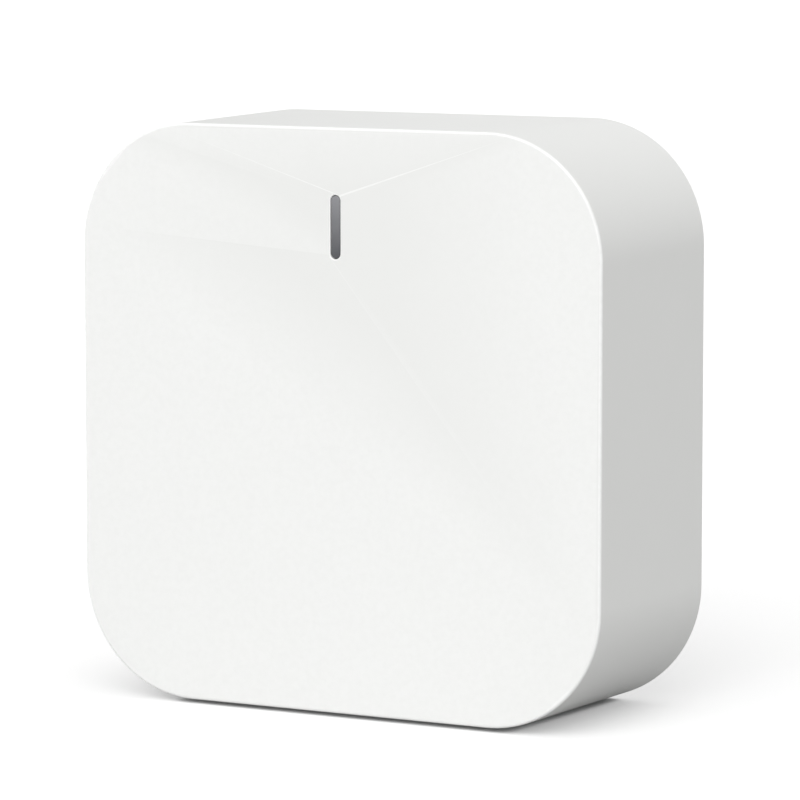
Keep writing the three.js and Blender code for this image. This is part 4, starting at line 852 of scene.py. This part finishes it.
def through_hole(node_low, node_high, gap, inner, radius, segments=8):
    """A cutter round a node's outline seen along Y, with a gap, from inside the cover outwards."""
    return prism(
        "hole",
        (node_low.x - gap, inner - OVERCUT, node_low.z - gap),
        (node_high.x + gap, inner + OVERCUT, node_high.z + gap),
        radius,
        segments=segments,
    )


def vent_cutters(sizes, inner, outer, level, tall):
    cutters = []
    for index in range(sizes.vent_count):
        x = (index - (sizes.vent_count - 1) / 2) * sizes.vent_pitch
        slot = prism(
            "vent",
            (x - sizes.vent_width / 2, inner - OVERCUT, level - tall / 2),
            (x + sizes.vent_width / 2, inner + OVERCUT, level + tall / 2),
            sizes.vent_width / 2,
            segments=6,
        )
        cutters.append(flare(slot, 1, outer, sizes.hole_round, 3, sizes.edge_highlight_margin))
    return cutters


def build_rear_cover():
    sizes = bpy.context.scene.hub_case
    low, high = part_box("rear_cover")
    shell_low, shell_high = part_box("front_shell")
    outer = high.y
    inner = outer - 2.2 * MM
    edge = sizes.rim_wall + 0.2 * MM
    piece = tapered_block("rear_cover_moulding", inner, outer, edge, sizes.corner_steps)
    round_end(piece, outer, 0.4 * MM, 4)
    support_edges(piece, outer, 1, ())
    lip = tapered_block("lip", inner - 3 * MM, inner + OVERCUT, sizes.side_wall + 0.2 * MM, sizes.corner_steps)
    lip_hollow = tapered_block(
        "lip_hollow", inner - 4 * MM, inner + 2 * OVERCUT, sizes.side_wall + 1.4 * MM, sizes.corner_steps
    )
    cut(lip, lip_hollow)
    add(piece, lip)
    jack_low, jack_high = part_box("ethernet_shield")
    usb_low, usb_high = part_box("usb_shell")
    usb = (usb_low + usb_high) / 2
    recess_floor = usb_high.y - 0.2 * MM
    button = place_of("pairing_button")
    recess_half = Vector((6.6, 0, 3.7)) * MM
    wall = Vector((1.2, 0, 1.2)) * MM
    recess_body = prism(
        "recess_body",
        (usb.x - recess_half.x - wall.x, recess_floor - 1.2 * MM, usb.z - recess_half.z - wall.z),
        (usb.x + recess_half.x + wall.x, inner + OVERCUT, usb.z + recess_half.z + wall.z),
        recess_half.z + wall.z,
    )
    collar = rod("collar", 5.75 * MM, inner - 6 * MM, inner + OVERCUT, button.x, button.z)
    add(piece, recess_body, collar)
    wells = []
    holes = []
    for corner in CORNERS:
        screw_low, screw_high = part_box("cover_screw_" + corner)
        place = (screw_low + screw_high) / 2
        seat = outer - 3 * MM
        wells.append(rod("well", 4.2 * MM, seat - 1.5 * MM, inner + OVERCUT, place.x, place.z))
        recess = rod("well_hollow", 3 * MM, seat, seat + OVERCUT, place.x, place.z, 56)
        holes.append(flare(recess, 1, outer, sizes.hole_round, margin=sizes.edge_highlight_margin))
        holes.append(rod("screw_hole", 1.5 * MM, seat - 3 * MM, seat + OVERCUT / 2, place.x, place.z, 24))
    add(piece, *wells)
    cut(piece, *holes)
    usb_recess = prism(
        "usb_recess",
        (usb.x - recess_half.x, recess_floor, usb.z - recess_half.z),
        (usb.x + recess_half.x, recess_floor + OVERCUT, usb.z + recess_half.z),
        recess_half.z,
        segments=16,
    )
    usb_hole = through_hole(usb_low, usb_high, 0.2 * MM, recess_floor - OVERCUT, usb_high.z - usb.z + 0.2 * MM)
    cut(piece, flare(usb_recess, 1, outer, 0.4 * MM, margin=sizes.edge_highlight_margin), usb_hole)
    collar_hollow = rod("collar_hollow", 4.55 * MM, inner - 7 * MM, inner, button.x, button.z)
    button_hole = rod("button_hole", 3.25 * MM, inner - OVERCUT, inner + OVERCUT, button.x, button.z, 56)
    jack_hole = through_hole(jack_low, jack_high, 0.4 * MM, inner, 0.5 * MM)
    cut(
        piece,
        collar_hollow,
        flare(button_hole, 1, outer, sizes.hole_round, margin=sizes.edge_highlight_margin),
        flare(jack_hole, 1, outer, sizes.hole_round, margin=sizes.edge_highlight_margin),
    )
    label_low, label_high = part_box("rating_label")
    label_gap = Vector((0.2, 0, 0.2)) * MM
    label_recess = prism(
        "label_recess",
        label_low - label_gap - Vector((0, 0.05 * MM, 0)),
        label_high + label_gap + Vector((0, OVERCUT, 0)),
        1.6 * MM,
    )
    cut(piece, flare(label_recess, 1, outer, 0.12 * MM, 2, sizes.edge_highlight_margin))
    top_vents = vent_cutters(sizes, inner, outer, shell_high.z - 17 * MM, 12 * MM)
    bottom_vents = vent_cutters(sizes, inner, outer, shell_low.z + 11 * MM, 5 * MM)
    cut(piece, merged(top_vents + bottom_vents))
    finish(piece, finish_called(case_plastic), replaces=["rear_cover"])


def build_feet():
    """Rubber strips with a rounded lower edge and three grooves along them."""
    for side in SIDES:
        low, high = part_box("foot_" + side)
        piece = prism("foot_pad_" + side, low, high, 3 * MM, UP_Z)
        with edit_mode(piece):
            select(piece, "EDGE", edges_at(UP_Z, low.z))
            bevel(0.25 * MM, 3)
        centre = (low + high) / 2
        for place in (-1, 0, 1):
            x = centre.x + place * 2.2 * MM
            groove = prism(
                "groove",
                (x - 0.4 * MM, low.y + 4 * MM, low.z - OVERCUT),
                (x + 0.4 * MM, high.y - 4 * MM, low.z + 0.35 * MM),
                0.39 * MM,
                UP_Z,
                4,
            )
            cut(piece, groove)
        finish(piece, finish_called(foot_rubber), replaces=["foot_" + side])


def build_status_light():
    """The lens in the slot with a softly rounded face, its flange and the stem behind it."""
    sizes = bpy.context.scene.hub_case
    low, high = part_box("indicator_lens")
    centre = (low + high) / 2
    gap = sizes.lens_gap
    wall_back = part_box("front_shell")[0].y + sizes.front_wall

    def part(name, extra, start, end):
        width = sizes.slot_width / 2 + extra
        tall = sizes.slot_length / 2 + extra
        return prism(
            name, (centre.x - width, start, centre.z - tall), (centre.x + width, end, centre.z + tall), width,
            segments=14,
        )

    piece = part("indicator_light_guide", -gap, low.y, wall_back + 0.5 * MM)
    round_end(piece, low.y, 0.14 * MM, 4)
    add(
        piece,
        part("flange", 1.2 * MM, wall_back + 0.05 * MM, wall_back + 1.05 * MM),
        part("stem", 0.5 * MM, wall_back + 0.55 * MM, high.y),
    )
    finish(piece, finish_called(smoked_lens), replaces=["indicator_lens"])


def cross_recess(place, top, half, width, depth):
    """A cutter for a cross recess in a screw head that looks along +Y, narrower at its floor."""
    blades = []
    for across in (True, False):
        x_half, z_half = (half, width) if across else (width, half)
        blade = prism(
            "blade",
            (place.x - x_half, top - depth, place.z - z_half),
            (place.x + x_half, top + OVERCUT, place.z + z_half),
        )
        with edit_mode(blade):
            select(blade, "FACE", faces(ALONG_Y, -1))
            resize((0.55, 1, 0.55), (place.x, top - depth, place.z))
        blades.append(blade)
    return blades


def build_cover_screws():
    """Pan-head screws with a domed head, a cross recess and a plain shank."""
    for corner in CORNERS:
        node = "cover_screw_" + corner
        low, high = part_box(node)
        place = (low + high) / 2
        head_radius = (high.x - low.x) / 2
        seat = high.y - 1.7 * MM
        piece = rod(node + "_steel", head_radius, seat, high.y, place.x, place.z, 48)
        round_end(piece, high.y, 0.9 * MM, 6)
        shank = rod("shank", 1.2 * MM, low.y, seat + 0.2 * MM, place.x, place.z, 24)
        round_end(shank, low.y, 0.5 * MM, 2)
        add(piece, shank)
        cut(piece, *cross_recess(place, high.y, 1.45 * MM, 0.34 * MM, 1.05 * MM))
        finish(piece, finish_called(black_steel), replaces=[node])


def build_pairing_button():
    """The button's cap with a shallow dish for a fingertip, its flange and its stem."""
    low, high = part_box("pairing_button")
    place = (low + high) / 2
    cover_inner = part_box("rear_cover")[1].y - 2.2 * MM
    flange_top = cover_inner - 0.125 * MM
    flange_radius = (high.x - low.x) / 2
    piece = rod("pairing_button_cap", 3 * MM, flange_top - 0.2 * MM, high.y, place.x, place.z, 72)
    round_end(piece, high.y, 0.35 * MM, 4)
    with edit_mode(piece):
        select(piece, "FACE", faces(ALONG_Y, 1))
        bpy.ops.mesh.inset(thickness=0.35 * MM)
        for step in range(4):
            bpy.ops.mesh.inset(thickness=0.45 * MM, depth=-0.1 * MM * (1 - step / 4))
    flange = rod("flange", flange_radius, flange_top - 1.2 * MM, flange_top, place.x, place.z, 56)
    stem = rod("stem", 1.9 * MM, low.y, flange_top - 0.5 * MM, place.x, place.z, 32)
    add(piece, flange, stem)
    finish(
        piece, finish_called(case_plastic), body="button", replaces=["pairing_button"]
    )


def build_rating_label():
    low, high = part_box("rating_label")
    piece = prism("rating_label_film", low, high, 1.5 * MM)
    round_end(piece, high.y, 0.05 * MM, 2)
    finish(piece, finish_called(label_film), replaces=["rating_label"])


# ---------------------------------------------------------------- Sockets


def plug_cutter(centre, start, end, margin=0.0):
    """The hollow for a modular plug: a wide mouth and two narrower steps below it for the latch."""
    def step(name, half, bottom, top):
        return prism(
            name,
            (centre.x - half - margin, start, centre.z + bottom - margin),
            (centre.x + half + margin, end, centre.z + top + margin),
            0.15 * MM,
            segments=3,
        )
    mouth = step("mouth", 5.95 * MM, -2.7 * MM, 4.1 * MM)
    latch = step("latch", 3.2 * MM, -4.2 * MM, 0.0)
    tip = step("tip", 1.6 * MM, -5.7 * MM + margin, 0.0)
    return add(mouth, latch, tip)


def build_ethernet_socket():
    """Black moulding, stamped shield and eight gold contacts."""
    low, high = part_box("ethernet_shield")
    centre = (low + high) / 2
    house_low, house_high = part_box("ethernet_housing")
    mouth = high.y
    housing = prism("ethernet_socket_moulding", house_low, house_high, 0.3 * MM, segments=3)
    cut(housing, plug_cutter(centre, mouth - 12.6 * MM, mouth + OVERCUT))
    finish(housing, finish_called(black_plastic), replaces=["ethernet_housing"])

    sheet = 0.35 * MM
    shield = prism("ethernet_socket_shield", low, high, 0.6 * MM, segments=4)
    round_end(shield, high.y, 0.3 * MM, 3)
    inside = prism(
        "inside",
        (low.x + sheet, low.y - OVERCUT, low.z + sheet),
        (high.x - sheet, high.y - sheet, high.z - sheet),
        0.3 * MM,
        segments=3,
    )
    cut(shield, inside)
    cut(shield, plug_cutter(centre, mouth - OVERCUT, mouth + OVERCUT, sheet / 2))
    finish(shield, finish_called(tinned_steel), replaces=["ethernet_shield"])

    contact_low, contact_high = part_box("ethernet_contacts")
    bar_end = contact_low.y + 1.6 * MM
    bar = prism("ethernet_contact_bar", contact_low, (contact_high.x, bar_end, contact_high.z), 0.2 * MM)
    finish(bar, finish_called(black_plastic))
    wires = []
    for index in range(8):
        x = centre.x + (index - 3.5) * 1.02 * MM
        wires.append(contact_wire(x, bar_end, contact_low, contact_high))
    piece = merged(wires)
    piece.name = "ethernet_contact_wires"
    finish(piece, finish_called(gold_plate), replaces=["ethernet_contacts"])


def contact_wire(x, start, low, high):
    """One spring contact: a flat wire that rises from the bar to the socket's ceiling in five bends."""
    width = 0.25 * MM
    thick = 0.3 * MM
    bottom = low.z + 0.35 * MM
    rise = high.z - thick - bottom
    reach = high.y - start
    wire = prism("wire", (x - width, start, bottom), (x + width, start + 0.3 * MM, bottom + thick))
    with edit_mode(wire):
        select(wire, "FACE", faces(ALONG_Y, 1))
        for along, up in ((0.15, 0.06), (0.25, 0.26), (0.25, 0.32), (0.2, 0.26), (0.12, 0.1)):
            extrude((0, along * (reach - 0.3 * MM), up * rise))
    return wire


def build_usb_socket():
    """Drawn steel shell with a rolled mouth, and the black tongue with gold contacts on both sides."""
    low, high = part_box("usb_shell")
    centre = (low + high) / 2
    sheet = 0.3 * MM
    shell = prism("usb_socket_shell", low, high, (high.z - low.z) / 2, segments=12)
    round_end(shell, high.y, 0.14 * MM, 3)
    bore = prism(
        "bore",
        (low.x + sheet, low.y - OVERCUT, low.z + sheet),
        (high.x - sheet, high.y - OVERCUT, high.z - sheet),
        (high.z - low.z) / 2 - sheet,
        segments=12,
    )
    cut(shell, flare(bore, 1, high.y, 0.12 * MM, 3))
    finish(shell, finish_called(tinned_steel), replaces=["usb_shell"])

    tongue_low, tongue_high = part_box("usb_tongue")
    half_wide = 3.345 * MM
    half_tall = 0.35 * MM
    base_end = tongue_low.y + 4.3 * MM
    tongue = prism("usb_socket_tongue", (centre.x - half_wide, tongue_low.y, centre.z - half_tall),
                   (centre.x + half_wide, tongue_high.y, centre.z + half_tall), 0.2 * MM, segments=3)
    round_end(tongue, tongue_high.y, 0.15 * MM, 3)
    base = prism("base", tongue_low, (tongue_high.x, base_end, tongue_high.z),
                 (tongue_high.z - tongue_low.z) / 2, segments=10)
    step = prism("step", (centre.x - half_wide, base_end - 0.5 * MM, centre.z - 0.65 * MM),
                 (centre.x + half_wide, base_end + 1.2 * MM, centre.z + 0.65 * MM), 0.2 * MM, segments=3)
    add(tongue, base, step)
    finish(tongue, finish_called(black_plastic), replaces=["usb_tongue"])

    pads = []
    for index in range(12):
        x = centre.x + (index - 5.5) * 0.5 * MM
        for side in (-1, 1):
            surface = centre.z + side * half_tall
            ends = sorted((surface - side * 0.05 * MM, surface + side * 0.02 * MM))
            pads.append(prism("pad", (x - 0.12 * MM, base_end + 1.3 * MM, ends[0]),
                              (x + 0.12 * MM, tongue_high.y - 0.7 * MM, ends[1])))
    contacts = merged(pads)
    contacts.name = "usb_socket_contacts"
    finish(contacts, finish_called(gold_plate))


# ---------------------------------------------------------------- Electronics

NODE_FINISHES = {
    "light_sleeve": black_plastic,
    "switch_body": black_plastic,
    "switch_plunger": black_plastic,
    "wifi_antenna": black_plastic,
    "mesh_antenna": black_plastic,
    "main_board": main_board_mask,
    "wifi_board": module_mask,
    "mesh_board": module_mask,
    "processor": chip_resin,
    "memory_chip": chip_resin,
    "flash_chip": chip_resin,
    "ethernet_transformer": chip_resin,
    "ethernet_controller": chip_resin,
    "power_inductor_1": ferrite,
    "power_inductor_2": ferrite,
    "status_led_1": led_resin,
    "status_led_2": led_resin,
    "status_led_3": led_resin,
    "thermal_pad": thermal_pad,
    "wifi_lead": coax_sheath,
    "mesh_lead": coax_sheath,
    "heat_sink": aluminium,
    "bulk_capacitor_1": aluminium,
    "bulk_capacitor_2": aluminium,
    "clock_crystal": tinned_steel,
    "wifi_shield": tinned_steel,
    "mesh_shield": tinned_steel,
    "ballast_plate": plated_steel,
    "ballast_screw_left": plated_steel,
    "ballast_screw_right": plated_steel,
    "heat_sink_screw_left": plated_steel,
    "heat_sink_screw_right": plated_steel,
    "board_screw_top_left": plated_steel,
    "board_screw_top_right": plated_steel,
    "board_screw_bottom_right": plated_steel,
    "board_screw_bottom_left": plated_steel,
    "wifi_socket": gold_plate,
    "wifi_lead_plug": gold_plate,
    "mesh_socket": gold_plate,
    "mesh_lead_plug": gold_plate,
}


def dress_electronics():
    """Gives every model node that stays its own finish."""
    for node, maker in NODE_FINISHES.items():
        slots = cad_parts[node].material_slots
        if not slots:
            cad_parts[node].data.materials.append(finish_called(maker))
        for slot in slots:
            slot.material = finish_called(maker)


# ---------------------------------------------------------------- Studio


def build_floor(studio):
    bpy.ops.object.select_all(action="DESELECT")
    bpy.ops.mesh.primitive_circle_add(vertices=96, radius=6.0, fill_type="NGON", location=(0, 0, 0))
    floor = settle("studio_floor")
    finish_ = Finish("Floor paint", Roughness=0.9, Specular_IOR_Level=0.0, Emission_Color=(1.0, 1.0, 1.0, 1.0))
    nodes = finish_.nodes
    shade = nodes.noise(finish_.place, 3.0)
    base = tuple(studio.floor)
    camera_ray = nodes.add("ShaderNodeLightPath").outputs["Is Camera Ray"]
    seen = nodes.mix(shade, tinted(base, 0.998), tinted(base, 1.002))
    # Close under the hub the occlusion takes the glow away, which paints a darker contact shadow there.
    near = nodes.add("ShaderNodeAmbientOcclusion", {"Distance": 1.2 * MM}, samples=8).outputs["AO"]
    open_floor = nodes.ramp(near, [(0.3, 0.0), (0.8, 1.0)])
    glow = nodes.math("MULTIPLY", camera_ray, studio.floor_glow)
    finish_.set(
        Base_Color=nodes.mix(camera_ray, studio.floor_bounce, seen),
        Emission_Strength=nodes.math("MULTIPLY", glow, open_floor),
    )
    floor.data.materials.append(finish_.material)


def build_sky(studio):
    """An even white world: full white where the camera sees it, softer as light."""
    world = bpy.data.worlds.new("Studio")
    bpy.context.scene.world = world
    world.use_nodes = True
    nodes = Nodes(world.node_tree)
    light = world.node_tree.nodes["Background"]
    light.inputs["Color"].default_value = (1.0, 1.0, 1.0, 1.0)
    light.inputs["Strength"].default_value = studio.sky
    seen = nodes.add("ShaderNodeBackground", {"Color": (1.0, 1.0, 1.0, 1.0), "Strength": 1.0})
    camera_ray = nodes.add("ShaderNodeLightPath").outputs["Is Camera Ray"]
    both_ = nodes.add("ShaderNodeMixShader", {0: camera_ray, 1: light.outputs[0], 2: seen.outputs[0]})
    output = world.node_tree.nodes["World Output"]
    world.node_tree.links.new(both_.outputs[0], output.inputs["Surface"])


def add_lamp(name, light, azimuth, elevation, softness):
    """A large soft lamp: azimuth 0 is from the front, positive towards +X; angles in degrees.

    A matt white surface that faces it squarely is as bright as the light given.
    """
    turn, rise = math.radians(azimuth), math.radians(elevation)
    towards = Vector((math.sin(turn) * math.cos(rise), -math.cos(turn) * math.cos(rise), math.sin(rise)))
    bpy.ops.object.select_all(action="DESELECT")
    bpy.ops.object.light_add(type="SUN", location=towards)
    sun = bpy.context.object
    sun.name = name
    sun.rotation_euler = towards.to_track_quat("Z", "Y").to_euler()
    sun.data.energy = light * math.pi
    sun.data.angle = math.radians(softness)
    return sun


def build_camera(studio):
    bpy.ops.object.select_all(action="DESELECT")
    bpy.ops.object.camera_add(location=studio.camera_place)
    camera = bpy.context.object
    camera.name = "studio_camera"
    camera.rotation_euler = Vector(studio.camera_aim).to_track_quat("-Z", "Y").to_euler()
    camera.data.lens = studio.lens
    camera.data.sensor_width = 36.0
    camera.data.clip_start = 0.01
    camera.data.dof.use_dof = False
    bpy.context.scene.camera = camera


def build_stage():
    studio = bpy.context.scene.hub_studio
    scene = bpy.context.scene
    scene.view_settings.view_transform = "Standard"
    scene.view_settings.look = "None"
    build_camera(studio)
    build_floor(studio)
    build_sky(studio)
    add_lamp("key_lamp", studio.key, 15.0, 40.0, 50.0)
    add_lamp("low_front_lamp", studio.low, 0.0, 12.0, 60.0)
    add_lamp("left_lamp", studio.left, -60.0, 30.0, 60.0)
    add_lamp("right_lamp", studio.right, 90.0, 45.0, 90.0)
    add_lamp("rear_lamp", studio.rear, 180.0, 12.0, 60.0)


# ---------------------------------------------------------------- Operators, panel and registration


class HubBuildOperator:
    """Shared by every operator here: it runs its build function and stops on an error."""

    bl_options = {"REGISTER", "UNDO"}

    def execute(self, context):
        type(self).build()
        return {"FINISHED"}


class HUB_OT_stage(HubBuildOperator, bpy.types.Operator):
    """Set the camera, the floor and the soft light"""

    bl_idname = "hub.stage"
    bl_label = "Stage"
    build = staticmethod(build_stage)


class HUB_OT_front_shell(HubBuildOperator, bpy.types.Operator):
    """Build the tub with its front face"""

    bl_idname = "hub.front_shell"
    bl_label = "Front shell"
    build = staticmethod(build_front_shell)


class HUB_OT_rear_cover(HubBuildOperator, bpy.types.Operator):
    """Build the rear cover with its vents and openings"""

    bl_idname = "hub.rear_cover"
    bl_label = "Rear cover"
    build = staticmethod(build_rear_cover)


class HUB_OT_rating_label(HubBuildOperator, bpy.types.Operator):
    """Build the blank label"""

    bl_idname = "hub.rating_label"
    bl_label = "Rating label"
    build = staticmethod(build_rating_label)


class HUB_OT_feet(HubBuildOperator, bpy.types.Operator):
    """Build the rubber feet"""

    bl_idname = "hub.feet"
    bl_label = "Feet"
    build = staticmethod(build_feet)


class HUB_OT_cover_screws(HubBuildOperator, bpy.types.Operator):
    """Build the screws of the rear cover"""

    bl_idname = "hub.cover_screws"
    bl_label = "Cover screws"
    build = staticmethod(build_cover_screws)


class HUB_OT_status_light(HubBuildOperator, bpy.types.Operator):
    """Build the status light's window and guide"""

    bl_idname = "hub.status_light"
    bl_label = "Status light"
    build = staticmethod(build_status_light)


class HUB_OT_pairing_button(HubBuildOperator, bpy.types.Operator):
    """Build the pairing button"""

    bl_idname = "hub.pairing_button"
    bl_label = "Pairing button"
    build = staticmethod(build_pairing_button)


class HUB_OT_ethernet_socket(HubBuildOperator, bpy.types.Operator):
    """Build the Ethernet socket"""

    bl_idname = "hub.ethernet_socket"
    bl_label = "Ethernet socket"
    build = staticmethod(build_ethernet_socket)


class HUB_OT_usb_socket(HubBuildOperator, bpy.types.Operator):
    """Build the USB-C power socket"""

    bl_idname = "hub.usb_socket"
    bl_label = "USB-C socket"
    build = staticmethod(build_usb_socket)


class HUB_OT_electronics(HubBuildOperator, bpy.types.Operator):
    """Give the board, chips, radios and ballast their finishes"""

    bl_idname = "hub.electronics"
    bl_label = "Electronics"
    build = staticmethod(dress_electronics)


OPERATORS = (
    HUB_OT_stage,
    HUB_OT_front_shell,
    HUB_OT_rear_cover,
    HUB_OT_rating_label,
    HUB_OT_feet,
    HUB_OT_cover_screws,
    HUB_OT_status_light,
    HUB_OT_pairing_button,
    HUB_OT_ethernet_socket,
    HUB_OT_usb_socket,
    HUB_OT_electronics,
)


class HUB_PT_panel(bpy.types.Panel):
    """Lists the hub's sizes, colours and build steps"""

    bl_label = "Smart Home Hub"
    bl_idname = "HUB_PT_panel"
    bl_space_type = "VIEW_3D"
    bl_region_type = "UI"
    bl_category = "Hub"

    def draw(self, context):
        for group in (context.scene.hub_case, context.scene.hub_colours, context.scene.hub_studio):
            box = self.layout.box()
            for name in group.__annotations__:
                box.prop(group, name)
        for operator in OPERATORS:
            self.layout.operator(operator.bl_idname)


CLASSES = (HubCaseSizes, HubColours, HubStudio, *OPERATORS, HUB_PT_panel)


def register():
    for cls in CLASSES:
        bpy.utils.register_class(cls)
    bpy.types.Scene.hub_case = PointerProperty(type=HubCaseSizes)
    bpy.types.Scene.hub_colours = PointerProperty(type=HubColours)
    bpy.types.Scene.hub_studio = PointerProperty(type=HubStudio)


def unregister():
    del bpy.types.Scene.hub_studio
    del bpy.types.Scene.hub_colours
    del bpy.types.Scene.hub_case
    for cls in reversed(CLASSES):
        bpy.utils.unregister_class(cls)


def main():
    register()
    for operator in OPERATORS:
        group, name = operator.bl_idname.split(".")
        getattr(getattr(bpy.ops, group), name)()


if __name__ == "__main__":
    main()
